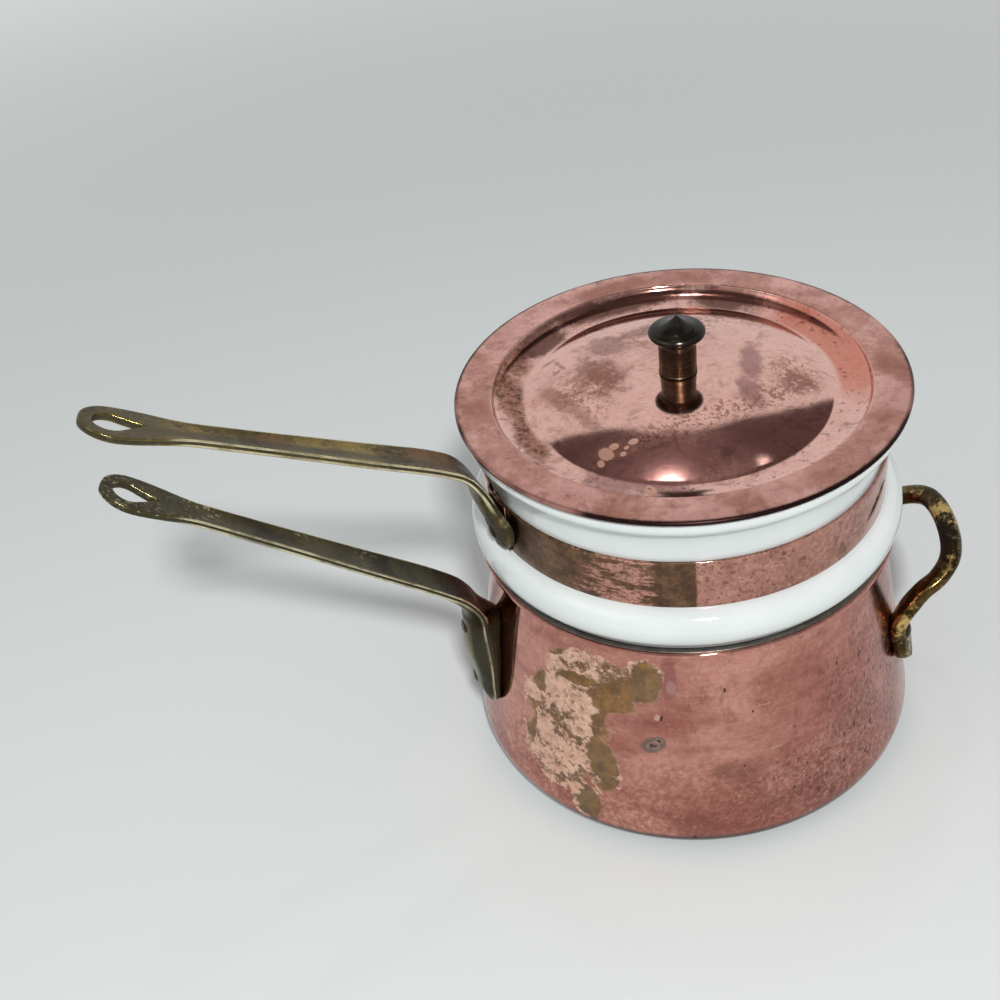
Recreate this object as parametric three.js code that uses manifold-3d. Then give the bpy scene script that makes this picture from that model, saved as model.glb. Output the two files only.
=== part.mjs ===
// A copper double boiler: a tin-lined pot for the water, a porcelain insert that hangs in its mouth by
// a swelling round its waist, and a copper lid. Millimetres, +Z up. The origin is on the pot's axis,
// on the surface that the pot stands on. The pot's long handle points along -X.
import * as THREE from 'three';
import { mergeVertices } from 'three/addons/utils/BufferGeometryUtils.js';
import Module from 'manifold-3d';

const wasm = await Module();
wasm.setup();

// Clearances
const turnedGap = 0.3; // between pieces that are cut for each other or stand in turned groups
const tailGap = 0.6; // between the hollow inside of the wall and a rivet's flat tail
const skinGap = 0.05; // between a sheet and the tin on it
const restGap = 0.1; // between a vessel and what it rests on
const bowlClearance = 3.25; // all round the bowl, in the pot's mouth
const recessClearance = 4.8; // all round the lid's recess, in the mouth of the insert

// Pot
const potMouthRadius = 73.4; // outside of the wall, just under the lip
const potFootRadius = 88.8; // where the straight wall would meet the table
const potHeight = 93.5; // top of the copper lip
const potCornerRadius = 10;
const potSheet = 1.5;
const lipReach = 4.5; // how far the lip stands out from the wall
const lipThickness = 1.6;
const lipRound = 0.5; // rounding of the lip's edges
const lipTurn = 1.6; // height and width of the turn from the wall to the lip
const tinThickness = 0.4;
const tinSetback = 1.1; // bare copper between the tin and the lip's edge

// Insert
const neckInset = 1.2; // porcelain under the band, in from the outside of the pot's mouth
const porcelainWall = 4;
const bulgeReach = 7.4; // how far the swelling stands out from the neck
const bulgeHeight = 17.2;
const seatReach = 1.4; // how far the flat seat ring reaches out over the lip
const bulgeFlat = 0.6; // height of the swelling's middle above half its height
const rimReach = 6.4; // how far the rim bead stands out from the neck
const rimBeadRadius = 3.2;
const mouthInset = 0.7; // inside of the mouth, in from the neck's outside
const bowlTaper = 2.7; // how much narrower the bowl is at its foot
const bowlDepth = 68; // below the seat ring
const bowlCornerRadius = 22;
const footHollow = 1.2; // how far the middle of the bowl's foot is raised

// Band
const bandHeight = 19.6;
const bandSheet = 0.8;
const bandLap = 11; // length of the lapped ends, under the handle's foot
const bandStep = 3; // length over which the outer end steps out
const neckAboveBand = 20.4; // from the band's top edge to the rim's top

// Lid
const lidOverhang = 1.4; // beyond the rim bead
const lidSheet = 1.2;
const lidHemRadius = 0.85;
const lidRecessDepth = 4.2;
const lidChannel = 10.8; // width of the hollow step from the brim down to the dome
const lidDomeRise = 7.9;

// Knob
const knobShaftRadius = 6.6;
const knobShaftHeight = 12.4;
const knobCapRadius = 9.9;
const knobHeight = 22.4;
const knobTenonRadius = 3;
const knobTenonSpread = 1; // how far its peened end spreads over the washer
const knobPeen = 2; // height of the peened end
const knobCapDepth = 3.4; // from the shaft's top up to the cap's widest place
const knobWasherRadius = 7;
const knobWasherThickness = 1.2;

// Long handles, a matched pair
const potHandleAzimuth = 180;
const insertHandleAzimuth = 188;
const bladeEndRadius = 9.7;
const bladeWaistHalf = 5.6;
const bladeWaistPlace = 36; // from the hanging end
const bladeRootHalf = 7.6;
const bladeEdge = 2.1;
const bladeCrown = 1.5;
const bladeHollow = 0.5;
const eyeRadius = 5;
const eyeLength = 16;
const eyeRim = 4; // metal outside the eye at the end of the blade
const potBladeLength = 128.6; // straight part, from the bend out to the hanging end
const potBladeRise = 38; // degrees above level
const potBendReach = 23.6; // start of the straight part, out from the pot's mouth
const potFootDrop = 64.5; // from the pot's top down to the foot's tip
// Where the foot's thin edges run: [below the pot's top, out from the wall]. Its tip lies in the wall.
const potFootEdge = [[17, 7.4], [27.5, 5], [40, 2.7], [53, 1.2], [potFootDrop, -1]];
const potFootHalf = 10.6;
const potFootCrown = 6.9; // how far the foot's face swells out from its edges
const potFootPad = 8; // how far its back swells towards the wall, before it is fitted
const potFootLength = 44;
const insertBladeLength = 119.8;
const insertBladeRise = 29.6;
const insertBendReach = 12; // start of the straight part, out from the lid's edge
const insertFootHalf = 11;
const insertFootCrown = 3.4;
const insertFootPad = 0;
const insertFootLength = 24;

// Helper handle
const helperAzimuth = -18;
const helperHalfSpan = 28;
const helperReach = 28;
const helperTilt = 34; // degrees above level
const helperSquareness = 0.7; // 1 bends the bow like an ellipse, less squares its shoulders
const helperBarHalf = 4.1;
const helperBarDepth = 3.2; // half of the bar's thickness
const helperRootDrop = 31.5; // from the pot's top down to where the bow leaves the wall
const helperFootLength = 24; // below the root
const helperFootHalf = 6.5;
const helperFootDepth = 3.3; // half of the foot's thickness before it is fitted to the wall
const helperFootInset = 0.6; // how deep that foot lies in the wall

// Rivets
const rivetRadius = 2;
const rivetHeadRadius = 3.3;
const rivetHeadHeight = 1.4;
const rivetTailRadius = 3.6;
const rivetTailHeight = 1.1;
const rivetSink = 1.2; // depth of the seat for the head, below the foot's face
const potRivetDrops = [53, 27.5]; // below the pot's top
const insertRivetDrop = 12.2; // below the band's top edge
const helperRivetDrop = 12; // below the root of the helper handle

// Facets round the axis
const rounds = 36;

const degrees = Math.PI / 180;
const wallSlope = (potFootRadius - potMouthRadius) / (potHeight - lipThickness);
const wallTilt = Math.atan(wallSlope);
const wallRadius = (z) => potFootRadius - wallSlope * z;

const mouthInside = potMouthRadius - potSheet - skinGap - tinThickness;
const neckRadius = potMouthRadius - neckInset;
const bowlRadius = mouthInside - bowlClearance;
const bowlFootRadius = bowlRadius - bowlTaper;
const bulgeSeatRadius = potMouthRadius + seatReach;
const rimRadius = neckRadius + rimReach;
const mouthRadius = neckRadius - mouthInset;
const lidRadius = rimRadius + lidOverhang;
const lidRecessRadius = mouthRadius - recessClearance;
const lidDomeRadius = lidRecessRadius - lidChannel;

const lipTop = potHeight + skinGap + tinThickness;
const seatHeight = lipTop + restGap;
const bandBottom = seatHeight + bulgeHeight;
const bandTop = bandBottom + bandHeight;
const rimTop = bandTop + neckAboveBand;
const lidBase = rimTop + restGap + tinThickness + skinGap; // underside of the lid's copper
const lidTop = lidBase + lidSheet;
const facetDepth = neckRadius * (1 - Math.cos(Math.PI / rounds)); // from a facet's corners to its middle
const bandInner = neckRadius + facetDepth + skinGap;
const bandRadius = bandInner + bandSheet;

const copper = { color: 0xb9776a, roughness: 0.3, metalness: 1 };
const brass = { color: 0x8a7a45, roughness: 0.42, metalness: 1 };
const darkBrass = { color: 0x5d4a34, roughness: 0.4, metalness: 1 };
const tin = { color: 0xb8b7b3, roughness: 0.4, metalness: 1 };
const porcelain = { color: 0xeef1ee, roughness: 0.12, metalness: 0 };

// Merges the shared vertices, drops slivers at the poles and turns the faces outwards.
function closedGeometry(source) {
  const bare = new THREE.BufferGeometry();
  bare.setAttribute('position', source.getAttribute('position').clone());
  if (source.index) bare.setIndex(source.index.clone());
  const merged = mergeVertices(bare, 1e-4);
  const position = merged.getAttribute('position');
  const corner = [new THREE.Vector3(), new THREE.Vector3(), new THREE.Vector3()];
  const kept = [];
  let volume = 0;
  for (let i = 0; i < merged.index.count; i += 3) {
    const triangle = [0, 1, 2].map((k) => merged.index.getX(i + k));
    if (new Set(triangle).size < 3) continue;
    triangle.forEach((vertex, k) => corner[k].fromBufferAttribute(position, vertex));
    volume += corner[0].dot(corner[1].clone().cross(corner[2]));
    kept.push(triangle);
  }
  const outward = volume < 0 ? kept.map(([a, b, c]) => [a, c, b]) : kept;
  merged.setIndex(outward.flat());
  return merged;
}

// A closed geometry as a solid that can be joined and cut.
function solid(geometry) {
  const closed = closedGeometry(geometry);
  const vertProperties = new Float32Array(closed.getAttribute('position').array);
  const triVerts = new Uint32Array(closed.index.array);
  return new wasm.Manifold(new wasm.Mesh({ numProp: 3, vertProperties, triVerts }));
}

function geometryOf(manifold) {
  const mesh = manifold.getMesh();
  const geometry = new THREE.BufferGeometry();
  geometry.setAttribute('position', new THREE.BufferAttribute(new Float32Array(mesh.vertProperties), 3));
  geometry.setIndex(new THREE.BufferAttribute(new Uint32Array(mesh.triVerts), 1));
  return geometry;
}

// Cuts each cutter out of a geometry.
function cut(geometry, ...cutters) {
  const result = cutters.reduce((body, cutter) => body.subtract(solid(cutter)), solid(geometry));
  return geometryOf(result);
}

// A profile of [radius, height] points turned round the Z axis.
function turned(profile, segments = rounds) {
  const points = profile.map(([radius, height]) => new THREE.Vector2(radius, height));
  const geometry = new THREE.LatheGeometry(points, segments);
  geometry.rotateX(Math.PI / 2);
  return geometry;
}

// Points on an arc of a circle or ellipse, from one angle to another in degrees.
function arc(centreRadius, centreHeight, across, up, from, to, steps) {
  const points = [];
  for (let i = 0; i <= steps; i += 1) {
    const angle = (from + ((to - from) * i) / steps) * degrees;
    points.push([centreRadius + across * Math.cos(angle), centreHeight + up * Math.sin(angle)]);
  }
  return points;
}

function piece(name, geometry, finish) {
  const mesh = new THREE.Mesh(closedGeometry(geometry), new THREE.MeshStandardMaterial(finish));
  mesh.name = name;
  return mesh;
}

// Pot body: floor, rounded corner, leaning wall and a lip turned out flat.
// The inset moves the whole surface inwards, so that the same outline serves the sheet's two faces.
function potOutline(inset) {
  const radius = potCornerRadius - inset;
  const centreRadius = wallRadius(potCornerRadius) - potCornerRadius / Math.cos(wallTilt);
  const corner = arc(centreRadius, potCornerRadius, radius, radius, -90, 0, 3);
  return [[0, inset], ...corner, wallPoint(potCornerRadius * (1 + Math.sin(wallTilt)), inset)];
}

function wallPoint(z, inset) {
  return [wallRadius(z) - inset / Math.cos(wallTilt), z];
}

function potBody() {
  const underLip = potHeight - lipThickness;
  const edge = potMouthRadius + lipReach;
  const inside = wallPoint(potHeight - 2, potSheet);
  return turned([
    ...potOutline(0),
    wallPoint(underLip - lipTurn, 0),
    [potMouthRadius + lipTurn * 0.3, underLip - lipTurn * 0.25],
    [potMouthRadius + lipTurn, underLip],
    [edge - lipRound, underLip],
    [edge, underLip + lipRound],
    [edge, potHeight - lipRound],
    [edge - lipRound, potHeight],
    [inside[0] + lipTurn, potHeight],
    [inside[0] + lipTurn * 0.3, potHeight - lipTurn * 0.35],
    inside,
    ...potOutline(potSheet).reverse(),
  ]);
}

// Tin lining: a skin over the floor, the wall and the top of the lip.
function potTin() {
  const outer = potSheet + skinGap;
  const inner = outer + tinThickness;
  const outside = wallPoint(potHeight - 2, outer);
  const inside = wallPoint(potHeight - 2, inner);
  const edge = potMouthRadius + lipReach - tinSetback;
  const onLip = potHeight + skinGap;
  return turned([
    ...potOutline(outer),
    outside,
    [outside[0] + lipTurn * 0.3, onLip - lipTurn * 0.35],
    [outside[0] + lipTurn, onLip],
    [edge, onLip],
    [edge, lipTop],
    [inside[0] + lipTurn, lipTop],
    [inside[0] + lipTurn * 0.3, lipTop - lipTurn * 0.4],
    inside,
    ...potOutline(inner).reverse(),
  ]);
}

// Porcelain insert. The outside runs from the bowl's foot past the seat ring, the swelling, the neck
// for the band and the hollow curve to the bead; the inside follows it, a wall's thickness in.
function insertShape() {
  const foot = seatHeight - bowlDepth;
  const bulgeHalf = bulgeHeight / 2 - bulgeFlat;
  const bulgeMiddle = seatHeight + bulgeHeight / 2 + bulgeFlat;
  const beadCentre = rimRadius - rimBeadRadius;
  const beadHeight = rimTop - rimBeadRadius;
  const hollow = beadHeight - bandTop;
  const corner = bowlCornerRadius;
  const innerCorner = corner - porcelainWall;
  const cornerCentre = bowlFootRadius - corner;
  const outside = [
    [0, foot + footHollow],
    [cornerCentre - corner / 4, foot + footHollow],
    [cornerCentre - corner / 4 + footHollow, foot],
    ...arc(cornerCentre, foot + corner, corner, corner, -88, 0, 4),
    [bowlRadius, seatHeight - bowlClearance],
    [mouthInside - turnedGap, seatHeight],
    [bulgeSeatRadius, seatHeight],
    ...arc(neckRadius, bulgeMiddle, bulgeReach, bulgeHalf, -62, 80, 5),
    [neckRadius, bandBottom],
    [neckRadius, bandTop],
    [neckRadius + hollow * 0.05, bandTop + hollow * 0.5],
    [neckRadius + hollow * 0.16, bandTop + hollow * 0.8],
    ...arc(beadCentre, beadHeight, rimBeadRadius, rimBeadRadius, -70, 90, 3),
  ];
  const inner = neckRadius - porcelainWall;
  const inside = [
    [mouthRadius + 1, rimTop],
    [mouthRadius, rimTop - 1],
    [mouthRadius - 1.4, rimTop - rimBeadRadius * 1.5],
    [inner, bandTop],
    [inner, bandBottom + porcelainWall],
    [inner + porcelainWall / 2, bulgeMiddle],
    [bowlRadius - porcelainWall, seatHeight - porcelainWall],
    ...arc(cornerCentre, foot + corner, innerCorner, innerCorner, 0, -90, 4),
    [0, foot + porcelainWall],
  ];
  return turned([...outside, ...inside]);
}

// The band runs once round the neck and on over its own first end. Angles start under the handle.
const lapAngle = bandLap / bandInner;
const stepAngle = bandStep / bandInner;
const bandStart = -lapAngle / 2;
const bandEnd = 2 * Math.PI + lapAngle / 2;
const stepStart = bandEnd - lapAngle - 2 * stepAngle;

function lapLift(angle) {
  return (bandSheet + turnedGap) * THREE.MathUtils.smoothstep(angle, stepStart, stepStart + stepAngle);
}

function onCircle(radius, angle) {
  return new THREE.Vector2(radius * Math.cos(angle), radius * Math.sin(angle));
}

function standing(outline, from, to) {
  const strip = new THREE.ExtrudeGeometry(outline, { depth: to - from, bevelEnabled: false });
  strip.translate(0, 0, from);
  return strip;
}

function bandStrip() {
  const angles = [];
  for (let i = 0; i < rounds; i += 1) angles.push(bandStart + ((stepStart - bandStart) * i) / rounds);
  for (let i = 0; i <= 4; i += 1) angles.push(stepStart + (stepAngle * i) / 4);
  const lapStart = stepStart + stepAngle;
  for (let i = 1; i <= 4; i += 1) angles.push(lapStart + ((bandEnd - lapStart) * i) / 4);
  const outer = angles.map((angle) => onCircle(bandRadius + lapLift(angle), angle));
  const inner = angles.map((angle) => onCircle(bandInner + lapLift(angle), angle)).reverse();
  return standing(new THREE.Shape([...outer, ...inner]), bandBottom + restGap, bandTop - restGap);
}

// What the foot of the handle has to clear: the band's outside under it, a gap proud.
function bandCutter() {
  const reach = 0.4;
  const proud = [];
  for (let i = 0; i <= 12; i += 1) {
    const angle = -reach + ((lapAngle / 2 + reach) * i) / 12;
    proud.push(onCircle(bandRadius + turnedGap + lapLift(angle + 2 * Math.PI), angle));
  }
  for (let i = 0; i <= 4; i += 1) {
    const angle = lapAngle / 2 + turnedGap / bandRadius + ((reach - lapAngle / 2) * i) / 4;
    proud.push(onCircle(bandRadius + turnedGap, angle));
  }
  const behind = [onCircle(bandRadius - 20, reach), onCircle(bandRadius - 20, -reach)];
  return standing(new THREE.Shape([...proud, ...behind]), bandBottom - 6, bandTop + turnedGap);
}

// Lid: a flat brim with a rolled edge, a hollow step down into the mouth and a dome.
const domeEdge = lidTop - lidRecessDepth;

function domeHeight(radius) {
  const sphere = (lidDomeRadius ** 2 + lidDomeRise ** 2) / (2 * lidDomeRise);
  return domeEdge + lidDomeRise - sphere + Math.sqrt(sphere ** 2 - radius ** 2);
}

function lidCurve(drop) {
  const radii = [knobTenonRadius + turnedGap];
  for (let i = 0; i <= 3; i += 1) {
    radii.push(knobWasherRadius + ((lidDomeRadius - knobWasherRadius) * i) / 3);
  }
  const dome = radii.map((radius) => [radius, domeHeight(radius) - drop]);
  const width = lidRecessRadius - lidDomeRadius;
  const step = [0.25, 0.6, 0.85].map((share) => [
    lidDomeRadius + width * share + drop * 0.4,
    domeEdge + lidRecessDepth * (1 - Math.sqrt(1 - share ** 2)) - drop,
  ]);
  const brim = [[lidRecessRadius + drop * 0.6, lidTop - 0.5 - drop], [lidRecessRadius + 1, lidTop - drop]];
  return [...dome, ...step, ...brim];
}

function lidShell() {
  const hem = arc(lidRadius - lidHemRadius, lidTop - lidHemRadius, lidHemRadius, lidHemRadius, 90, -90, 3);
  const hemFoot = [lidRadius - 2 * lidHemRadius, lidBase];
  const under = lidCurve(lidSheet).reverse();
  const top = lidCurve(0);
  return turned([...top, ...hem, hemFoot, ...under, top[0]]);
}

function lidTin() {
  const top = lidCurve(lidSheet + skinGap);
  const under = lidCurve(lidSheet + skinGap + tinThickness);
  const edge = lidRadius - 2 * lidHemRadius - tinSetback;
  return turned([
    ...top,
    [edge, lidBase - skinGap],
    [edge, lidBase - skinGap - tinThickness],
    ...under.reverse(),
    top[0],
  ]);
}

// Knob: a straight shaft under a pointed cap. Its tenon goes through the lid and is spread over a washer.
const knobSeat = domeHeight(knobTenonRadius + turnedGap) + skinGap;
const washerTop = domeHeight(knobWasherRadius) - lidSheet - tinThickness - skinGap - 2 * restGap;
const washerFoot = washerTop - knobWasherThickness;

function knobShape() {
  const shaft = knobSeat + knobShaftHeight;
  const tip = knobSeat + knobHeight;
  const widest = shaft + knobCapDepth;
  const point = tip - widest;
  const flare = knobCapRadius - knobShaftRadius;
  const peenRadius = knobTenonRadius + knobTenonSpread;
  return turned([
    [0, washerFoot - knobPeen],
    [peenRadius * 0.6, washerFoot - knobPeen * 0.95],
    [peenRadius, washerFoot - knobPeen / 2],
    [peenRadius, washerFoot - skinGap],
    [knobTenonRadius, washerFoot - skinGap],
    [knobTenonRadius, knobSeat],
    [knobShaftRadius, knobSeat],
    [knobShaftRadius, shaft],
    [knobShaftRadius + flare * 0.25, shaft + knobCapDepth * 0.15],
    [knobShaftRadius + flare * 0.65, shaft + knobCapDepth * 0.45],
    [knobShaftRadius + flare * 0.93, shaft + knobCapDepth * 0.78],
    [knobCapRadius, widest],
    [knobCapRadius - flare * 0.1, widest + point * 0.12],
    [knobCapRadius - flare * 0.4, widest + point * 0.2],
    [knobCapRadius * 0.62, widest + point * 0.3],
    [knobCapRadius * 0.4, widest + point * 0.45],
    [knobCapRadius * 0.24, widest + point * 0.66],
    [knobCapRadius * 0.1, widest + point * 0.9],
    [0, tip],
  ], 18);
}

function knobWasher() {
  const hole = knobTenonRadius + turnedGap;
  return turned([
    [hole, washerFoot],
    [knobWasherRadius - 0.4, washerFoot],
    [knobWasherRadius, washerFoot + 0.4],
    [knobWasherRadius, washerTop],
    [hole, washerTop],
    [hole, washerFoot],
  ], 18);
}

// A smooth value between named stations, each [distance, value].
function between(stations, distance) {
  const last = stations[stations.length - 1];
  if (distance >= last[0]) return last[1];
  const next = stations.findIndex(([at]) => at > distance);
  if (next === 0) return stations[0][1];
  const [from, low] = stations[next - 1];
  const [to, high] = stations[next];
  return THREE.MathUtils.lerp(low, high, THREE.MathUtils.smoothstep(distance, from, to));
}

// A skin through rings of points, closed with a flat cap at each end.
function loft(rings) {
  const count = rings[0].length;
  const vertices = rings.flat().flatMap((point) => point.toArray());
  const faces = [];
  for (let ring = 0; ring < rings.length - 1; ring += 1) {
    for (let i = 0; i < count; i += 1) {
      const a = ring * count + i;
      const b = ring * count + ((i + 1) % count);
      faces.push(a, b, b + count, a, b + count, a + count);
    }
  }
  const last = (rings.length - 1) * count;
  for (let i = 1; i < count - 1; i += 1) {
    faces.push(0, i + 1, i);
    faces.push(last, last + i, last + i + 1);
  }
  const geometry = new THREE.BufferGeometry();
  geometry.setAttribute('position', new THREE.Float32BufferAttribute(vertices, 3));
  geometry.setIndex(faces);
  return geometry;
}

// Section of a long handle: a hollowed upper face, square edges and a crowned lower face. A negative
// hollow is a swelling. Distances run along the handle from its hanging end.
function handleSection(half, edge, crown, hollow) {
  const upper = [1, 0.55, 0, -0.55, -1].map((u) => [u * half, -hollow * (1 - u * u)]);
  const lower = [-1, -0.9, -0.6, 0, 0.6, 0.9, 1].map((u) => [u * half, -edge - crown * Math.sqrt(1 - u * u)]);
  return [...upper, ...lower];
}

// How far a foot's face swells out from its edges, at a distance from the foot's tip.
function footSwelling(footCrown, footLength, fromTip) {
  return between([
    [0, footCrown * 0.25],
    [0.3 * footLength, footCrown * 0.66],
    [0.68 * footLength, footCrown],
    [footLength, footCrown * 0.85],
    [1.3 * footLength, footCrown * 0.45],
    [1.6 * footLength, bladeCrown],
  ], fromTip);
}

// A long handle in the XZ plane, its upper face on the curve through the given points.
// The points start at the hanging end and finish at the tip of the foot.
function longHandle(points, footHalf, footCrown, footPad, footLength) {
  const path = points.map(([x, z]) => new THREE.Vector3(x, 0, z));
  const curve = new THREE.CatmullRomCurve3(path, false, 'centripetal');
  const total = curve.getLength();
  const footStart = total - footLength;
  const plan = [
    [bladeEndRadius, bladeEndRadius],
    [bladeWaistPlace, bladeWaistHalf],
    [footStart - 8, bladeRootHalf],
    [footStart + 6, bladeRootHalf],
    [total - footHalf - 4, footHalf],
  ];
  const halfWidth = (s) => {
    const roundEnd = Math.max(0, bladeEndRadius - s);
    const roundTip = Math.max(0, footHalf - (total - s));
    if (roundEnd > 0) return Math.sqrt(Math.max(1, bladeEndRadius ** 2 - roundEnd ** 2));
    if (roundTip > 0) return Math.sqrt(Math.max(1, footHalf ** 2 - roundTip ** 2));
    return between(plan, s);
  };
  const bladeSwelling = [[2 * bladeEndRadius, bladeCrown * 0.4], [4 * bladeEndRadius, bladeCrown]];
  const crown = (s) => {
    const swelling = footSwelling(footCrown, footLength, total - s);
    return between(bladeSwelling, s) - bladeCrown + swelling;
  };
  const hollow = [
    [footStart - 20, bladeHollow],
    [footStart - 6, 0],
    [footStart + 4, -footPad],
    [total - footLength * 0.4, -footPad * 0.6],
    [total, 0],
  ];
  const stations = [0, 0.6, 2, 4.4, 8, 12, 17, 22, 28];
  const step = (total - bladeWaistPlace) / 19;
  for (let s = bladeWaistPlace; s < total - 9; s += step) stations.push(s);
  stations.push(total - 7, total - 4, total - 1.8, total - 0.5, total);
  const rings = stations.map((s) => {
    const share = Math.min(1, s / total);
    const at = curve.getPointAt(share);
    const along = curve.getTangentAt(share);
    const above = new THREE.Vector3(along.z, 0, -along.x);
    const section = handleSection(halfWidth(s), bladeEdge, crown(s), between(hollow, s));
    return section.map(([u, v]) => new THREE.Vector3(at.x + above.x * v, u, at.z + above.z * v));
  });
  return { geometry: loft(rings), curve, total };
}

// The teardrop eye that the handle hangs by: round at the end, pointed towards the pot.
function eyeCutter(curve, total) {
  const centre = eyeRim + eyeRadius;
  const point = eyeLength - eyeRadius;
  const spread = Math.acos(eyeRadius / point);
  const outline = new THREE.Shape();
  outline.absarc(0, 0, eyeRadius, spread, 2 * Math.PI - spread, false);
  outline.lineTo(point, 0);
  const cutter = new THREE.ExtrudeGeometry(outline, { depth: 20, bevelEnabled: false, curveSegments: 14 });
  cutter.translate(0, 0, -10);
  const at = curve.getPointAt(centre / total);
  const along = curve.getTangentAt(centre / total);
  cutter.applyMatrix4(new THREE.Matrix4().makeBasis(
    along,
    new THREE.Vector3(0, 1, 0),
    new THREE.Vector3().crossVectors(along, new THREE.Vector3(0, 1, 0)),
  ).setPosition(at));
  return cutter;
}

// Points on a straight blade, from its hanging end in to the bend.
function bladePoints([radius, height], length, rise) {
  return [1, 0.75, 0.5, 0.25, 0].map((share) => [
    radius + length * share * Math.cos(rise * degrees),
    height + length * share * Math.sin(rise * degrees),
  ]);
}

// Points of the two long handles, [distance from the axis, height], from the hanging end to the foot.
// The edges of the upper face run along them. What lies inside the wall or the band is cut away.
function potHandlePath() {
  const bend = [potMouthRadius + potBendReach, potHeight];
  return [
    ...bladePoints(bend, potBladeLength, potBladeRise),
    [bend[0] - 9, bend[1] - 8.5],
    ...potFootEdge.map(([drop, out]) => [wallRadius(potHeight - drop) + out, potHeight - drop]),
  ];
}

function insertHandlePath() {
  const bend = [lidRadius + insertBendReach, rimTop + 4.1];
  return [
    ...bladePoints(bend, insertBladeLength, insertBladeRise),
    [bend[0] - 7.4, bend[1] - 5.8],
    [bend[0] - 12.2, bend[1] - 13.9],
    [bandRadius + 3.1, bandTop + 1.6],
    [bandRadius + 0.4, bandTop - 5.9],
    [bandRadius, bandTop - insertRivetDrop],
    [bandRadius, bandBottom + 2 * turnedGap],
  ];
}

// Helper handle: a bar that climbs the wall from one foot, swings out in a tilted bow and comes
// down to the other. X points out from the pot between the feet.
const helperRootHeight = potHeight - helperRootDrop;
const helperFootOut = helperFootDepth - helperFootInset; // from the wall to the middle of the foot
const helperFootRadius = wallRadius(helperRootHeight) + helperFootOut;
const helperFootAngle = Math.asin(helperHalfSpan / helperFootRadius);
const helperRootRadius = helperFootRadius * Math.cos(helperFootAngle);

function helperHandle() {
  const tilt = helperTilt * degrees;
  const out = new THREE.Vector3(Math.cos(tilt), 0, Math.sin(tilt));
  const under = new THREE.Vector3(Math.sin(tilt), 0, -Math.cos(tilt));
  const onWall = (z, side) => {
    const radius = wallRadius(z) + helperFootOut;
    const angle = side * helperFootAngle;
    return new THREE.Vector3(radius * Math.cos(angle), radius * Math.sin(angle), z);
  };
  const bow = (angle) => {
    const reach = helperReach * Math.sin(angle * degrees) ** helperSquareness;
    const cosine = Math.cos(angle * degrees);
    const across = helperHalfSpan * Math.sign(cosine) * Math.abs(cosine) ** helperSquareness;
    return new THREE.Vector3(helperRootRadius, across, helperRootHeight).addScaledVector(out, reach);
  };
  const tip = helperRootHeight - helperFootLength;
  const footHeights = [tip, tip + 8, tip + 16];
  const curve = new THREE.CatmullRomCurve3([
    ...footHeights.map((z) => onWall(z, 1)),
    ...[14, 32, 58, 90, 122, 148, 166].map(bow),
    ...footHeights.reverse().map((z) => onWall(z, -1)),
  ], false, 'centripetal');
  const total = curve.getLength();
  const steps = 30;
  const rings = [];
  for (let i = 0; i <= steps; i += 1) {
    const swing = Math.cos((Math.PI * i) / steps);
    const share = 0.5 - 0.5 * swing * (0.72 + 0.28 * Math.abs(swing));
    const fromTip = total * Math.min(share, 1 - share);
    const at = curve.getPointAt(Math.min(1, Math.max(0, share)));
    const along = curve.getTangentAt(Math.min(1, Math.max(0, share)));
    const angle = (share < 0.5 ? 1 : -1) * helperFootAngle;
    const radial = new THREE.Vector3(Math.cos(angle), Math.sin(angle), 0);
    const bend = THREE.MathUtils.smoothstep(fromTip, helperFootLength - 8, helperFootLength + 10);
    const facing = radial.lerp(under, bend);
    facing.addScaledVector(along, -facing.dot(along)).normalize();
    const across = new THREE.Vector3().crossVectors(along, facing);
    const round = Math.sqrt(Math.max(0.03, 1 - (1 - Math.min(1, fromTip / helperFootHalf)) ** 2));
    const wide = THREE.MathUtils.lerp(helperFootHalf, helperBarHalf, bend) * round;
    const deep = THREE.MathUtils.lerp(helperFootDepth, helperBarDepth, bend);
    rings.push(ovalRing(at, across, facing, wide, deep));
  }
  return loft(rings);
}

function ovalRing(at, across, facing, wide, deep) {
  const ring = [];
  for (let k = 0; k < 8; k += 1) {
    const angle = (2 * Math.PI * (k + 0.5)) / 8;
    const point = at.clone().addScaledVector(across, wide * Math.cos(angle));
    ring.push(point.addScaledVector(facing, deep * Math.sin(angle)));
  }
  return ring;
}

// Rivet along +Z: the head's underside at zero, the shank going down to a flat tail.
function rivet(length, tail = true) {
  const head = arc(0, 0, rivetHeadRadius, rivetHeadHeight, 0, 90, 3);
  const foot = tail ? [
    [rivetRadius, -length],
    [rivetTailRadius, -length],
    [rivetTailRadius - 0.3, -length - rivetTailHeight],
    [0, -length - rivetTailHeight],
  ] : [[rivetRadius, -length], [0, -length]];
  return turned([...head.reverse(), [rivetRadius, 0], ...foot], 12);
}

// The place of a rivet: on a wall point, along the wall's normal, turned to an azimuth.
function rivetPlace(radius, height, tilt, azimuth, out) {
  const place = new THREE.Object3D();
  place.rotation.y = Math.PI / 2 - tilt;
  place.position.set(radius + out * Math.cos(tilt), 0, height + out * Math.sin(tilt));
  const holder = new THREE.Group();
  holder.rotation.z = azimuth;
  holder.add(place);
  holder.updateMatrixWorld(true);
  return place.matrixWorld;
}

function placedRod(radius, from, to, matrix, segments = 12) {
  const rod = new THREE.CylinderGeometry(radius, radius, to - from, segments);
  rod.rotateX(Math.PI / 2);
  rod.translate(0, 0, (from + to) / 2);
  rod.applyMatrix4(matrix);
  return rod;
}

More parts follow.
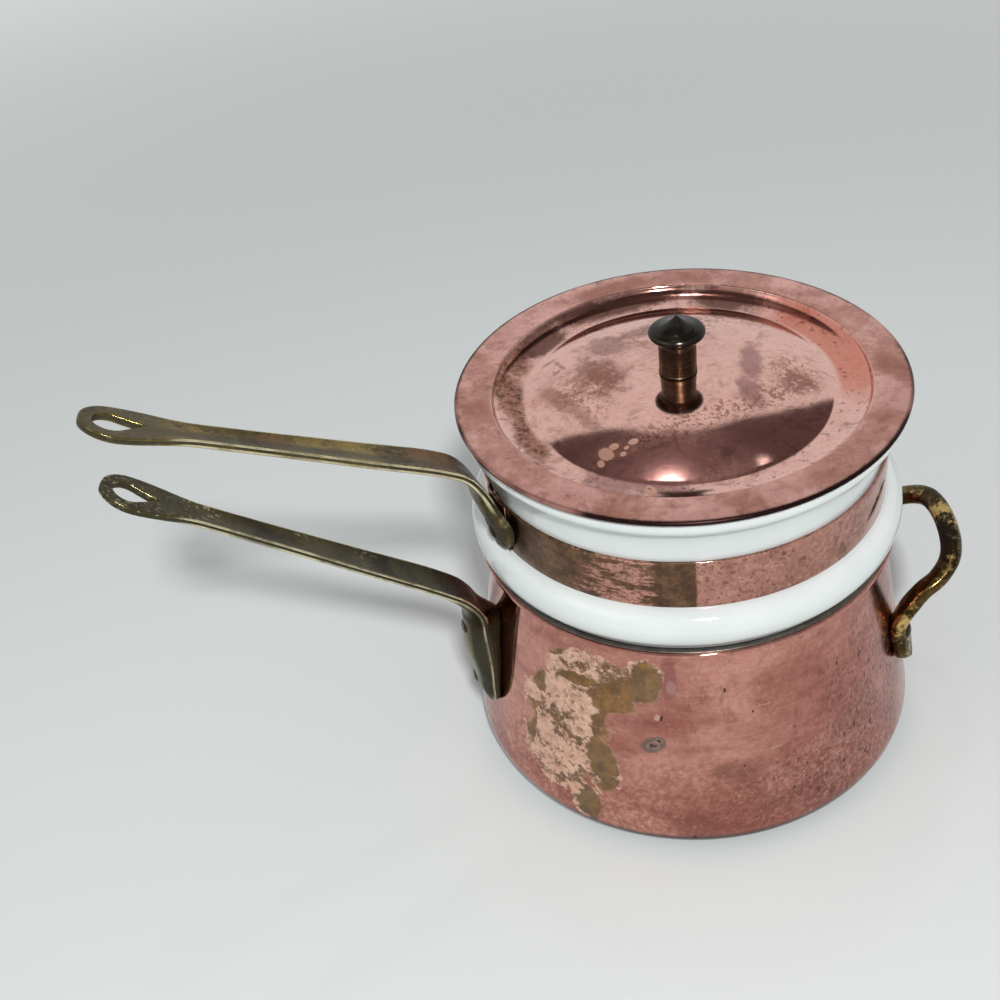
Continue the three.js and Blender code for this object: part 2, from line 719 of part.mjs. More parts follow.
// Each place also has a seat: the distance from the wall to the underside of the rivet's head.
const potRivetPlaces = potRivetDrops.map((drop) => {
  const height = potHeight - drop;
  const fromTip = (potFootDrop - drop) / Math.cos(wallTilt);
  const edgeOut = potFootEdge.find(([at]) => at === drop)[1];
  const face = edgeOut + bladeEdge + footSwelling(potFootCrown, potFootLength, fromTip);
  return { radius: wallRadius(height), height, azimuth: potHandleAzimuth * degrees, seat: face - rivetSink };
});
const helperRivetPlaces = [1, -1].map((side) => {
  const height = helperRootHeight - helperRivetDrop;
  const azimuth = helperAzimuth * degrees + side * helperFootAngle;
  const face = helperFootOut + helperFootDepth * Math.cos(Math.PI / 8);
  return { radius: wallRadius(height), height, azimuth, seat: face - rivetSink };
});

// Holes for the rivets through the pot's wall and its lining.
function potHoles() {
  return [...potRivetPlaces, ...helperRivetPlaces].map(({ radius, height, azimuth }) =>
    placedRod(rivetRadius + turnedGap, -8, 8, rivetPlace(radius, height, wallTilt, azimuth, 0)));
}

// The wall's outside, a gap proud of it, turned back by the azimuth of the piece that it cuts.
function wallCutter(azimuth) {
  const top = potHeight;
  const cutter = turned([
    [0, -10],
    [wallRadius(-10) + turnedGap, -10],
    [wallRadius(top) + turnedGap, top],
    [0, top],
  ]);
  cutter.rotateZ(-azimuth);
  return cutter;
}

// The hole and the sunk seat that a rivet needs in a foot.
function footHoles(places, azimuth, tilt) {
  return places.flatMap((spot) => {
    const matrix = rivetPlace(spot.radius, spot.height, tilt, spot.azimuth - azimuth, 0);
    return [
      placedRod(rivetRadius + turnedGap, -12, 30, matrix),
      placedRod(rivetHeadRadius + turnedGap, spot.seat, 30, matrix),
    ];
  });
}

function potHandle() {
  const foot = [potFootHalf, potFootCrown, potFootPad, potFootLength];
  const { geometry, curve, total } = longHandle(potHandlePath(), ...foot);
  const azimuth = potHandleAzimuth * degrees;
  const holes = footHoles(potRivetPlaces, azimuth, wallTilt);
  return cut(geometry, eyeCutter(curve, total), wallCutter(azimuth), ...holes);
}

const insertRivetHeight = bandTop - insertRivetDrop;
const insertRivetFromTip = insertRivetHeight - bandBottom;
const insertFootFace = bladeEdge + footSwelling(insertFootCrown, insertFootLength, insertRivetFromTip);
const insertRivetPlace = {
  radius: bandRadius,
  height: insertRivetHeight,
  azimuth: insertHandleAzimuth * degrees,
  seat: insertFootFace - rivetSink,
};

function insertHandle() {
  const foot = [insertFootHalf, insertFootCrown, insertFootPad, insertFootLength];
  const { geometry, curve, total } = longHandle(insertHandlePath(), ...foot);
  const holes = footHoles([insertRivetPlace], insertHandleAzimuth * degrees, 0);
  return cut(geometry, eyeCutter(curve, total), bandCutter(), ...holes);
}

function copperBand() {
  const matrix = rivetPlace(bandRadius, insertRivetHeight, 0, 0, 0);
  return cut(bandStrip(), placedRod(rivetRadius + turnedGap, -6, 6, matrix));
}

function fittedHelper() {
  const azimuth = helperAzimuth * degrees;
  return cut(helperHandle(), wallCutter(azimuth), ...footHoles(helperRivetPlaces, azimuth, wallTilt));
}

// Puts a rivet where its place says, in a group turned to its azimuth.
function placeRivet(name, { radius, height, azimuth, seat }, tilt, through, tail) {
  const mesh = piece(name, rivet(seat + through, tail), brass);
  const out = seat + skinGap;
  mesh.position.set(radius + out * Math.cos(tilt), 0, height + out * Math.sin(tilt));
  mesh.rotation.y = Math.PI / 2 - tilt;
  const holder = new THREE.Group();
  holder.rotation.z = azimuth;
  holder.add(mesh);
  return holder;
}

function turnedGroup(azimuth, ...meshes) {
  const group = new THREE.Group();
  group.rotation.z = azimuth * degrees;
  group.add(...meshes);
  return group;
}

const throughWall = potSheet + skinGap + tinThickness + tailGap;

const pot = new THREE.Group();
pot.add(piece('pot_body', cut(potBody(), ...potHoles()), copper));
pot.add(piece('pot_tin_lining', cut(potTin(), ...potHoles()), tin));
pot.add(turnedGroup(potHandleAzimuth, piece('pot_handle', potHandle(), brass)));
pot.add(turnedGroup(helperAzimuth, piece('helper_handle', fittedHelper(), brass)));
potRivetPlaces.forEach((spot, i) => {
  const name = ['pot_handle_rivet_lower', 'pot_handle_rivet_upper'][i];
  pot.add(placeRivet(name, spot, wallTilt, throughWall, true));
});
helperRivetPlaces.forEach((spot, i) => {
  const name = ['helper_rivet_rear', 'helper_rivet_front'][i];
  pot.add(placeRivet(name, spot, wallTilt, throughWall, true));
});

const insert = new THREE.Group();
insert.add(piece('porcelain_insert', insertShape(), porcelain));
insert.add(turnedGroup(insertHandleAzimuth, piece('copper_band', copperBand(), copper)));
insert.add(turnedGroup(insertHandleAzimuth, piece('insert_handle', insertHandle(), brass)));
insert.add(placeRivet('insert_handle_rivet', insertRivetPlace, 0, bandSheet, false));

const lid = new THREE.Group();
lid.add(piece('lid_shell', lidShell(), copper));
lid.add(piece('lid_tin_lining', lidTin(), tin));
lid.add(piece('lid_knob', knobShape(), darkBrass));
lid.add(piece('knob_washer', knobWasher(), copper));

const doubleBoiler = new THREE.Group();
doubleBoiler.add(pot, insert, lid);

export default doubleBoiler;
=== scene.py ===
import math

import bmesh
import bpy
from mathutils import Matrix, Vector


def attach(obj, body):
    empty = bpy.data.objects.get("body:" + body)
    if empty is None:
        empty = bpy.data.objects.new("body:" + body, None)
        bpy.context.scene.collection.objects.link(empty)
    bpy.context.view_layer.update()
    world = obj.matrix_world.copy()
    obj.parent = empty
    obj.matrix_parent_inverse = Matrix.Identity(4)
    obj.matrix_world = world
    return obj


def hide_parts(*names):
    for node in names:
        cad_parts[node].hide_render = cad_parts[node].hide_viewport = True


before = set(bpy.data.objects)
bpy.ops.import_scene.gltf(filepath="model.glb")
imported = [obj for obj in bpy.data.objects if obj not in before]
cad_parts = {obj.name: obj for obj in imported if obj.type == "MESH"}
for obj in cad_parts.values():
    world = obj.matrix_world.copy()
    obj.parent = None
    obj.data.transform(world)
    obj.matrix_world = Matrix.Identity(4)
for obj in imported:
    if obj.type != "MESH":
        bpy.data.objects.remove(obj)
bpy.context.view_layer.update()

# %% [markdown]
# # A copper double boiler
# A tin-lined copper pot holds the water. A porcelain insert hangs in its mouth, and a copper lid
# lies on the insert. The packed CAD model gives every piece its place. Here each one gets a
# smooth shape and a finish: worn copper, cast brass, wiped tin and glazed porcelain.
#
# Blender works in metres and a maker works in millimetres, so lengths are written times MM.

# %% Units and the sizes that several pieces share
MM = 0.001

POT_MOUTH = 73.4 * MM      # outside of the wall just under the lip
POT_FOOT = 88.8 * MM       # where the straight wall would meet the table
POT_HEIGHT = 93.5 * MM
LIP_THICKNESS = 1.6 * MM
LIP_REACH = 4.5 * MM
SHEET = 1.5 * MM
TIN = 0.4 * MM
SKIN_GAP = 0.05 * MM
REST_GAP = 0.1 * MM

SEAT = POT_HEIGHT + SKIN_GAP + TIN + REST_GAP      # underside of the insert's swelling
NECK = 72.2 * MM
BULGE_HEIGHT = 17.2 * MM
BAND_BOTTOM = SEAT + BULGE_HEIGHT
BAND_TOP = BAND_BOTTOM + 19.6 * MM
BAND_RADIUS = NECK + 1.1 * MM
RIM_TOP = BAND_TOP + 20.4 * MM
LID_BASE = RIM_TOP + REST_GAP + TIN + SKIN_GAP
LID_TOP = LID_BASE + 1.2 * MM
LID_RADIUS = 80 * MM

WALL_SLOPE = (POT_FOOT - POT_MOUTH) / (POT_HEIGHT - LIP_THICKNESS)
WALL_TILT = math.atan(WALL_SLOPE)


def wall_radius(z):
    """Outside of the pot's leaning wall at a height."""
    return POT_FOOT - WALL_SLOPE * z


print("rim at", round(RIM_TOP / MM, 2), "mm, lid top at", round(LID_TOP / MM, 2), "mm")

# %% [markdown]
# ## Camera
# The photographer stood a little left of the pot's middle and looked down on it with the camera
# slightly rolled. A place, a point to aim at, a roll and a lens say all of that. Building the
# camera's axes from them by hand shows what each number does.

# %% Camera
CAMERA_PLACE = Vector((-149.8, -370.7, 417.4)) * MM
CAMERA_AIM = Vector((-64.0, 27.9, 100.0)) * MM
CAMERA_ROLL = math.radians(8.17)
CAMERA_LENS = 48.24

forward = (CAMERA_AIM - CAMERA_PLACE).normalized()
level_right = forward.cross(Vector((0, 0, 1))).normalized()
level_up = level_right.cross(forward)
right = level_right * math.cos(CAMERA_ROLL) - level_up * math.sin(CAMERA_ROLL)
up = right.cross(forward)

camera_data = bpy.data.cameras.new("camera")
camera_data.lens = CAMERA_LENS
camera_data.sensor_width = 36
camera_data.sensor_fit = "HORIZONTAL"
camera_data.clip_start = 0.01
camera = bpy.data.objects.new("camera", camera_data)
camera.matrix_world = Matrix((
    (right.x, up.x, -forward.x, CAMERA_PLACE.x),
    (right.y, up.y, -forward.y, CAMERA_PLACE.y),
    (right.z, up.z, -forward.z, CAMERA_PLACE.z),
    (0, 0, 0, 1),
))
bpy.context.scene.collection.objects.link(camera)
bpy.context.scene.camera = camera
bpy.context.scene.view_settings.view_transform = "Standard"
print("camera looks down at", round(math.degrees(math.asin(-forward.z)), 1), "degrees")

# %% [markdown]
# ## Finishes
# Every finish below is a handful of nodes: noises for what chance did to the metal, a few
# placed marks for what can be pointed at, and one metal or glaze shader at the end. Wiring
# nodes one by one takes many lines, so a small class adds a node in one call, and each finish
# reads like a recipe. The Geometry Nodes trees further down are built with it too.


# %% A helper that adds nodes
class Tree:
    """A node tree under construction."""

    def __init__(self, tree):
        self.tree = tree

    def connect(self, value, socket):
        """Links a socket to another one, or sets it to a plain value."""
        if isinstance(value, bpy.types.NodeSocket):
            self.tree.links.new(value, socket)
        else:
            socket.default_value = value

    def node(self, kind, values=(), **settings):
        """Adds a node with its settings, and connects the inputs that values names."""
        made = self.tree.nodes.new(kind)
        for key, value in settings.items():
            setattr(made, key, value)
        for key, value in dict(values).items():
            self.connect(value, made.inputs[key])
        return made

    def sum(self, operation, a, b=0.0):
        return self.node("ShaderNodeMath", {0: a, 1: b}, operation=operation).outputs[0]

    def times(self, a, b):
        return self.sum("MULTIPLY", a, b)

    def plus(self, a, b):
        return self.sum("ADD", a, b)

    def less(self, a, b):
        return self.sum("SUBTRACT", a, b)


print("a tree can:", [name for name in vars(Tree) if not name.startswith("_")])

# %% [markdown]
# A finish needs only a few kinds of shader node. A noise is what chance did. Levels turn it into
# a mask with softer or harder edges, and a mix lays a colour on through that mask. The patterns
# read places in metres, so a noise of scale 500 has grains of some 2 mm on every piece alike.

# %% A helper that writes shader recipes
class Recipe(Tree):
    """A tree of shader nodes. Its patterns read one set of coordinates."""

    def __init__(self, tree, coordinates="Object"):
        super().__init__(tree)
        self.place = self.node("ShaderNodeTexCoord").outputs[coordinates]

    def noise(self, scale, detail=4, rough=0.55, where=None, seed=0, twist=0):
        values = {"Vector": where or self.place, "W": seed, "Scale": scale, "Detail": detail,
                  "Roughness": rough, "Distortion": twist}
        return self.node("ShaderNodeTexNoise", values, noise_dimensions="4D").outputs["Fac"]

    def stretch(self, where, scale):
        return self.node("ShaderNodeMapping", {"Vector": where, "Scale": scale}).outputs["Vector"]

    def levels(self, value, low, high, bottom=0.0, top=1.0):
        """Smoothly from bottom to top as the value goes from low to high."""
        values = {"Value": value, "From Min": low, "From Max": high,
                  "To Min": bottom, "To Max": top}
        made = self.node("ShaderNodeMapRange", values, interpolation_type="SMOOTHSTEP")
        return made.outputs["Result"]

    def mix(self, share, a, b):
        """Colour a where the share is 0, and colour b where it is 1."""
        values = {"Factor": share, 6: a, 7: b}
        return self.node("ShaderNodeMix", values, data_type="RGBA").outputs[2]

    def axes(self, where=None):
        made = self.node("ShaderNodeSeparateXYZ", {"Vector": where or self.place})
        return made.outputs[0], made.outputs[1], made.outputs[2]

    def bump(self, height, distance, normal=None):
        values = {"Height": height, "Distance": distance, "Strength": 1}
        if normal is not None:
            values["Normal"] = normal
        return self.node("ShaderNodeBump", values).outputs["Normal"]


print("a recipe adds:", [name for name in vars(Recipe) if not name.startswith("_")])

# %% [markdown]
# A mark that can be pointed at is placed as an oval and then torn by a noise. On a round wall
# the place is a distance along the circle and a height, as if the wall were rolled out flat.
# On the lid it is seen from above. A finish is a recipe with a shader at its end.

# %% Finishes, and the places of marks
class Finish(Recipe):
    """The recipe of a material."""

    def __init__(self, name):
        self.material = bpy.data.materials.new(name)
        self.material.use_nodes = True
        super().__init__(self.material.node_tree)
        self.shader = self.tree.nodes["Principled BSDF"]

    def finish(self, **sockets):
        """Connects the shader's sockets, which are named as base_color names Base Color."""
        for key, value in sockets.items():
            label = key.replace("_", " ").title().replace("Ior", "IOR")
            self.connect(value, self.shader.inputs[label])
        return self.material

    def out_from_axis(self):
        x, y, _ = self.axes()
        return self.sum("SQRT", self.plus(self.times(x, x), self.times(y, y)))

    def seen_from_above(self):
        return self.stretch(self.place, (1, 1, 0))

    def unrolled(self, radius, third=None):
        """Coordinates of a turned wall, rolled out flat: along the circle, height, radius."""
        x, y, z = self.axes()
        around = self.times(self.sum("ARCTAN2", y, x), radius)
        values = {"X": around, "Y": z, "Z": self.out_from_axis() if third is None else third}
        return self.node("ShaderNodeCombineXYZ", values).outputs[0]

    def ovals(self, where, spots):
        """How far out of the nearest oval a point is: 0 in its middle and 1 on its border.

        A spot is (across, up, half width, half height, lean in degrees), in millimetres."""
        nearest = None
        for across, up, half_width, half_height, lean in spots:
            values = {"Vector": where, "Location": (across * MM, up * MM, 0),
                      "Rotation": (0, 0, math.radians(lean)),
                      "Scale": (half_width * MM, half_height * MM, 1)}
            inside = self.node("ShaderNodeMapping", values, vector_type="TEXTURE").outputs[0]
            length = self.node("ShaderNodeVectorMath", {0: inside}, operation="LENGTH")
            far = length.outputs["Value"]
            nearest = far if nearest is None else self.sum("MINIMUM", nearest, far)
        return nearest

    def ragged(self, distance, border, amount, softness):
        """1 inside a border at distance 1, which a noise from 0 to 1 pushes in and out."""
        pushed = self.plus(distance, self.times(self.less(border, 0.5), amount))
        return self.levels(pushed, 1 + softness, 1 - softness)


print("a finish adds:", [name for name in vars(Finish) if not name.startswith("_")])

# %% [markdown]
# All the metals here are worn in the same three ways: a colour is laid on through a mask, a
# patch loses its polish, and a placed mark has an edge that a fine noise has torn.

# %% Worn metal, and colours
class Metal(Finish):
    """A metal with wear. Its makers set colour, rough and torn, which the marks are laid on."""

    def stain(self, mask, colour, strength):
        """Lays a colour over the metal, as far as the mask and the strength allow."""
        self.colour = self.mix(self.times(mask, strength), self.colour, colour)

    def stain_within(self, region, mask, colour, strength):
        self.stain(self.times(region, mask), colour, strength)

    def roughen(self, mask, amount):
        self.rough = self.plus(self.rough, self.times(mask, amount))

    def blots(self, where, spots, spread=4.5, softness=0.38):
        """A torn mask round placed ovals: whole in the middle and scattered at the border."""
        return self.ragged(self.ovals(where, spots), self.torn, spread, softness)

    def islands(self, scale, low, high, seed):
        """Small irregular patches, as drops leave them."""
        return self.levels(self.noise(scale, 4, 0.6, seed=seed, twist=0.6), low, high)


def linear(value):
    share = value / 255
    return share / 12.92 if value < 11 else ((share + 0.055) / 1.055) ** 2.4


def srgb(red, green, blue):
    """A colour as a picture editor gives it, 0 to 255, made linear for the shader."""
    return linear(red), linear(green), linear(blue), 1.0


print("middle grey of 128 is", round(linear(128), 3), "to the shader")

# %% [markdown]
# ## Copper
# Old kitchen copper is a mirror with a history. Where it was polished last it is pink and shows
# everything round it. A thin film of oxide turns it brown or purple in soft clouds, drops and
# fingers leave small marks with torn edges, and cleaning leaves hairlines that all run the same
# way. A turned piece is rubbed round its axis, so its hairlines are drawn in rolled-out
# coordinates. What makes it look old is the fine scale: three noises, of some 40, 7 and 2 mm,
# cut every mark. The class keeps its noises, so that each piece can add its own marks.

# %% Copper for all the sheet pieces
COPPER_BROWN = srgb(128, 84, 66)
COPPER_PURPLE = srgb(128, 78, 82)
COPPER_DARK = srgb(62, 42, 36)
COPPER_PEACH = srgb(244, 196, 170)


class Copper(Metal):
    """Worn copper: its clean and its filmed colour, how hazy and mottled it is, its hairlines."""

    def __init__(self, name, seed, clean, filmed, haze, mottled, hairlines):
        super().__init__(name)
        self.cloud = self.noise(24, 6, 0.62, seed=seed, twist=0.4)
        self.border = self.noise(150, 9, 0.75, seed=seed + 1)
        self.lace = self.noise(460, 8, 0.8, seed=seed + 2)
        self.lines = self.noise(1, 6, 0.75, where=hairlines(self), seed=seed + 3)
        self.torn = self.plus(self.times(self.border, 0.55), self.times(self.lace, 0.45))
        self.colour = clean

        # the film, in clouds that the torn noise thins
        film = self.levels(self.cloud, 0.6 - 0.25 * haze, 0.8 - 0.2 * haze)
        film = self.times(film, self.levels(self.torn, 0.34, 0.6, 0.5, 1.0))
        self.stain(film, filmed, 1.0)

        # mottling, wisps and hairlines, dark and bright
        self.stain(self.levels(self.lace, 0.46, 0.56), filmed, 0.65 * mottled)
        self.stain(self.levels(self.lace, 0.46, 0.38), COPPER_PEACH, 0.5 * mottled)
        wisps = self.noise(70, 9, 0.72, seed=seed + 5, twist=1.6)
        self.stain(self.levels(wisps, 0.5, 0.64), COPPER_BROWN, 0.45)
        self.stain(self.levels(self.lines, 0.54, 0.72), COPPER_BROWN, 0.34)
        self.stain(self.levels(self.lines, 0.44, 0.3), COPPER_PEACH, 0.4)

        # grime and specks gather in patches
        grime = self.times(self.levels(self.torn, 0.52, 0.58), self.levels(self.cloud, 0.5, 0.6))
        self.stain(grime, COPPER_BROWN, 0.6)
        specks = self.levels(self.noise(760, 3, 0.6, seed=seed + 4), 0.63, 0.69)
        self.stain(self.times(specks, self.levels(self.border, 0.5, 0.58)), COPPER_DARK, 0.6)
        self.rough = self.levels(self.lines, 0.3, 0.75, 0.05, 0.12)
        self.roughen(film, 0.08)
        self.roughen(grime, 0.16)

    def dress(self, relief, depth):
        """Metal with very shallow hairlines, a slight waviness and a relief of its own."""
        waves = self.bump(self.noise(26, 2, seed=60), 0.00005)
        scratched = self.bump(self.lines, 0.0000022, waves)
        normal = self.bump(relief, depth, scratched)
        return self.finish(base_color=self.colour, metallic=1.0, roughness=self.rough,
                           normal=normal)


def round_the_wall(recipe):
    """Hairlines that run round a wall: long along the circle, fine up the height."""
    return recipe.stretch(recipe.unrolled(80 * MM), (34, 900, 20))


def round_the_lid(recipe):
    """Hairlines that run round a flat piece: long along the circle, fine across the radius."""
    return recipe.stretch(recipe.unrolled(60 * MM), (30, 20, 900))


print("brown copper is", [round(part, 3) for part in COPPER_BROWN[:3]], "to the shader")

# %% [markdown]
# The lid is the piece that the eye goes to. Its dome is a clear mirror with purple and brown
# blots, dots left by drops in front of the knob, and a brown streak at the left. All the marks
# are ovals seen from above, given in millimetres from the lid's middle, and the noises tear them.

# %% Copper of the lid: stains and foxing
lid_metal = Copper("copper_lid", 2.0, srgb(240, 190, 176), srgb(200, 144, 130), 0.5, 0.35,
                   round_the_lid)
above = lid_metal.seen_from_above()

purple = lid_metal.blots(above, [
    (-15, 30, 7, 9, 20), (-23, 14, 6, 13, 8), (26, -4, 3.5, 13, -22), (18, -21, 4, 9, -10),
    (36, -20, 6, 5, 0), (-26, -42, 25, 12, -8), (2, 34, 14, 4, 0),
])
lid_metal.stain(purple, COPPER_PURPLE, 0.6)
light_cells = lid_metal.islands(430, 0.46, 0.4, 31)
dark_cells = lid_metal.levels(light_cells, 0.6, 0.3)
flecked = lid_metal.blots(above, [(-26, 12, 8, 14, 0), (37, -19, 8, 8, 0)], 3)
lid_metal.stain_within(flecked, dark_cells, srgb(142, 94, 76), 0.5)
lid_metal.stain_within(flecked, light_cells, srgb(232, 184, 166), 0.6)

brown = lid_metal.blots(above, [
    (-41, 4, 3, 17, 14), (-24, 12, 4, 11, 0), (37, 66, 10, 7, -30), (-20, -74, 40, 4, 4),
    (-57, -50, 16, 5, -46), (-72, 19, 5, 10, 10), (-48, 59, 10, 5, 48), (60, -46, 12, 5, 42),
    (69, -26, 5, 9, 10), (4, 71, 24, 4, 4),
])
lid_metal.stain(brown, srgb(150, 98, 76), 0.55)
foxed = lid_metal.blots(above, [
    (-4, -27, 30, 6, 3), (38, -13, 8, 9, 0), (-34, 5, 9, 14, 0), (8, 32, 28, 8, 0),
    (24, -24, 12, 6, 20),
], 2.2, 0.6)
lid_metal.stain_within(foxed, lid_metal.islands(520, 0.51, 0.57, 32), srgb(146, 96, 64), 0.75)
lid_metal.stain_within(foxed, lid_metal.islands(260, 0.54, 0.62, 33), srgb(150, 100, 84), 0.5)
print("stained so far with", len(lid_metal.tree.nodes), "nodes")

# %% [markdown]
# Drops of water that dried at the left lie paler than the metal round them and have lost their
# polish. Short dull scuffs came from being set down and knocked. They are small ovals, and the
# noise may only nibble at the drops but tears the scuffs.

# %% Copper of the lid: dried drops and scuffs
droplets = lid_metal.blots(above, [
    (-38, -28, 2.4, 3.2, 20), (-34.5, -26.4, 1.8, 1.5, 0), (-28, -27.6, 1.9, 1.4, 0),
    (-31, -29, 1, 0.8, 0), (-31, -50, 1.8, 2.8, 0), (-33, -31, 1.2, 1, 0),
    (-41, -31, 1.2, 1.6, 0),
], 1.0, 0.2)
lid_metal.stain(droplets, srgb(236, 184, 160), 0.85)
lid_metal.roughen(droplets, 0.26)
scuffs = lid_metal.blots(above, [
    (-37, 35, 3.4, 1, 20), (-34.5, 32, 1, 2.6, 0), (-34, 28, 0.9, 2.4, 10),
    (-37, 25.5, 2, 0.8, 30), (72, -29, 4.4, 0.8, -40), (63, -40, 5, 1, 40),
], 2.6, 0.5)
lid_metal.stain(scuffs, srgb(132, 98, 84), 0.6)
print("with drops and scuffs", len(lid_metal.tree.nodes), "nodes")

# %% [markdown]
# The hollow round the dome has gone brown at the left and stays orange at the right, and its far
# side, which faces the front, is painted darker as shade. The brim is satin from being wiped, with
# warm patches, and its rolled edge is painted dark as dirt and shade. Both are rings, so their
# masks are levels of the distance from the axis.

# %% Copper of the lid: the hollow and the brim
radius = lid_metal.out_from_axis()
hollow = lid_metal.times(lid_metal.levels(radius, 54.5 * MM, 57 * MM),
                         lid_metal.levels(radius, 67.4 * MM, 66 * MM))
gone_brown = lid_metal.times(hollow, lid_metal.blots(above, [
    (-57, 26, 7, 30, 10), (-50, 44, 9, 9, 0), (-57, -4, 5, 20, -8),
], 4.5))
lid_metal.stain(gone_brown, srgb(136, 84, 62), 0.8)
dark_lace = lid_metal.levels(lid_metal.lace, 0.5, 0.56)
light_lace = lid_metal.levels(lid_metal.lace, 0.46, 0.4)
lid_metal.stain_within(gone_brown, dark_lace, srgb(64, 42, 32), 0.8)
lid_metal.stain_within(gone_brown, light_lace, srgb(212, 150, 112), 0.6)
# painted shade: the hollow's far side, which faces the front, is darkened
far_wall_shade = lid_metal.blots(above, [
    (0, 62, 36, 5, 0), (-34, 51, 12, 7, 34), (40, 47, 14, 7, -40),
], 3)
lid_metal.stain_within(hollow, far_wall_shade, srgb(100, 62, 52), 0.9)
orange = lid_metal.blots(above, [(60, 0, 12, 44, 0)], 2.5)
lid_metal.stain_within(hollow, orange, srgb(206, 108, 84), 0.65)
lid_metal.stain_within(hollow, lid_metal.islands(420, 0.58, 0.63, 34), srgb(96, 64, 50), 0.6)

brim = lid_metal.levels(radius, 66.5 * MM, 67.3 * MM)
warm = lid_metal.levels(lid_metal.noise(26, 8, 0.66, seed=9), 0.43, 0.55)
worn_brim = lid_metal.mix(warm, srgb(228, 172, 162), srgb(162, 102, 86))
lid_metal.stain(brim, worn_brim, 0.62)
patchy = lid_metal.levels(lid_metal.torn, 0.51, 0.58)
lid_metal.stain_within(brim, patchy, srgb(150, 94, 80), 0.4)
# dirt and painted shade along the lid's rolled edge, in stretches that a noise sets
dirt_and_shade_stretch = lid_metal.levels(lid_metal.noise(16, 3, seed=35), 0.4, 0.54, 0.25, 1)
torn_radius = lid_metal.plus(radius, lid_metal.times(lid_metal.torn, 1.6 * MM))
edge_dirt_and_shade = lid_metal.levels(torn_radius, 78.9 * MM, 80.3 * MM)
lid_metal.stain_within(edge_dirt_and_shade, dirt_and_shade_stretch, srgb(44, 28, 27), 1.0)
lid_metal.roughen(hollow, 0.05)
lid_metal.roughen(brim, lid_metal.levels(lid_metal.torn, 0.4, 0.6, 0.14, 0.26))
lid_metal.roughen(lid_metal.plus(brown, purple), 0.06)
LID_COPPER = lid_metal.dress(lid_metal.lace, 0.000006)
print(LID_COPPER.name, "has", len(lid_metal.tree.nodes), "nodes")

# %% [markdown]
# The pot's wall is a mirror too, so the handles' feet show beside themselves. It is smeared and
# smudged by wiping, the right side is freckled with fine dark specks, and it gets mottled
# towards the foot, along which a dark line of painted shade runs. Its marks are placed by their
# direction, in degrees, and their height.

# %% Copper of the pot: smears and smudges
POT_ROLL = 80 * MM         # the wall is rolled out at this radius


def at_degrees(spots):
    """Ovals given by their direction in degrees instead of by millimetres along the wall."""
    return [(math.radians(degrees) * POT_ROLL / MM, *rest) for degrees, *rest in spots]


pot_metal = Copper("copper_pot", 5.0, srgb(212, 152, 138), srgb(160, 100, 88), 0.8, 0.4,
                   round_the_wall)
flat = pot_metal.unrolled(POT_ROLL, 0.0)
smeared = pot_metal.noise(1, 7, 0.68, where=pot_metal.stretch(flat, (16, 44, 0)), seed=16)
pot_metal.stain(pot_metal.levels(smeared, 0.44, 0.6), srgb(166, 102, 92), 0.7)
pot_metal.stain_within(pot_metal.levels(smeared, 0.56, 0.64),
                       pot_metal.levels(pot_metal.torn, 0.44, 0.58), srgb(128, 76, 70), 0.7)
smudges = pot_metal.blots(flat, at_degrees([
    (-112, 14, 9, 5, 0), (-84, 20, 16, 5, 6), (-76, 12, 14, 5, 0), (-64, 40, 12, 8, 0),
    (-100, 38, 9, 5, 0),
]))
pot_metal.stain(smudges, srgb(120, 78, 66), 0.45)
print("pot smeared and smudged with", len(pot_metal.tree.nodes), "nodes")

# %% [markdown]
# The freckles are two kinds of islands, pale and dark, inside two large soft ovals at the right.
# Finer specks are drawn a little upright, as drops run. Low down, where the pot stood in heat
# and in water, lace in two tones takes over.

# %% Copper of the pot: freckles and the foot
freckled = pot_metal.blots(flat, at_degrees([(-38, 46, 46, 46, 0), (-68, 26, 36, 20, 10)]), 2, 0.7)
light_islands = pot_metal.islands(520, 0.5, 0.44, 41)
dark_islands = pot_metal.islands(640, 0.53, 0.6, 42)
pot_metal.stain_within(freckled, light_islands, srgb(196, 158, 146), 0.5)
pot_metal.stain_within(freckled, dark_islands, srgb(112, 70, 64), 0.6)
specks = pot_metal.noise(1, 3, 0.5, where=pot_metal.stretch(flat, (560, 240, 0)), seed=17)
most_at_right = pot_metal.plus(pot_metal.times(freckled, 0.85), 0.15)
pot_metal.stain_within(pot_metal.levels(specks, 0.585, 0.64), most_at_right, COPPER_DARK, 0.8)

height = pot_metal.axes()[2]
low_wall = pot_metal.levels(height, 52 * MM, 16 * MM)
dark_lace = pot_metal.levels(pot_metal.lace, 0.47, 0.57)
light_lace = pot_metal.levels(pot_metal.lace, 0.45, 0.37)
pot_metal.stain_within(low_wall, dark_lace, srgb(146, 92, 82), 0.55)
pot_metal.stain_within(low_wall, light_lace, COPPER_PEACH, 0.35)
print("with freckles", len(pot_metal.tree.nodes), "nodes")

# %% [markdown]
# On the pot's front left an old lacquer is coming off. It takes three steps. Ovals give its
# outline, and the torn noise pushes that in and out. Inside it the metal is pale. On the pale
# metal, brown is kept where a second set of ovals and a coarse noise together are strong enough,
# with a dark line round each scrap.

# %% Old lacquer on the pot: where it lay and where it is kept
outline = pot_metal.ovals(flat, at_degrees([
    (-139, 72, 22, 12, 10), (-147, 53, 19, 18, 0), (-149, 33, 15, 16, 0), (-140, 17, 6, 11, 20),
    (-125, 77, 8, 10, 0), (-136, 36, 7, 13, 10),
]))
fine = pot_metal.noise(1, 9, 0.78, where=pot_metal.stretch(flat, (90, 130, 0)), seed=18)
coarse = pot_metal.noise(1, 6, 0.6, where=pot_metal.stretch(flat, (52, 70, 0)), seed=19)
flakes = pot_metal.plus(pot_metal.times(fine, 0.4), pot_metal.times(pot_metal.torn, 0.25))
flakes = pot_metal.plus(flakes, pot_metal.times(coarse, 0.35))
flaked = pot_metal.ragged(outline, flakes, 3.4, 0.07)

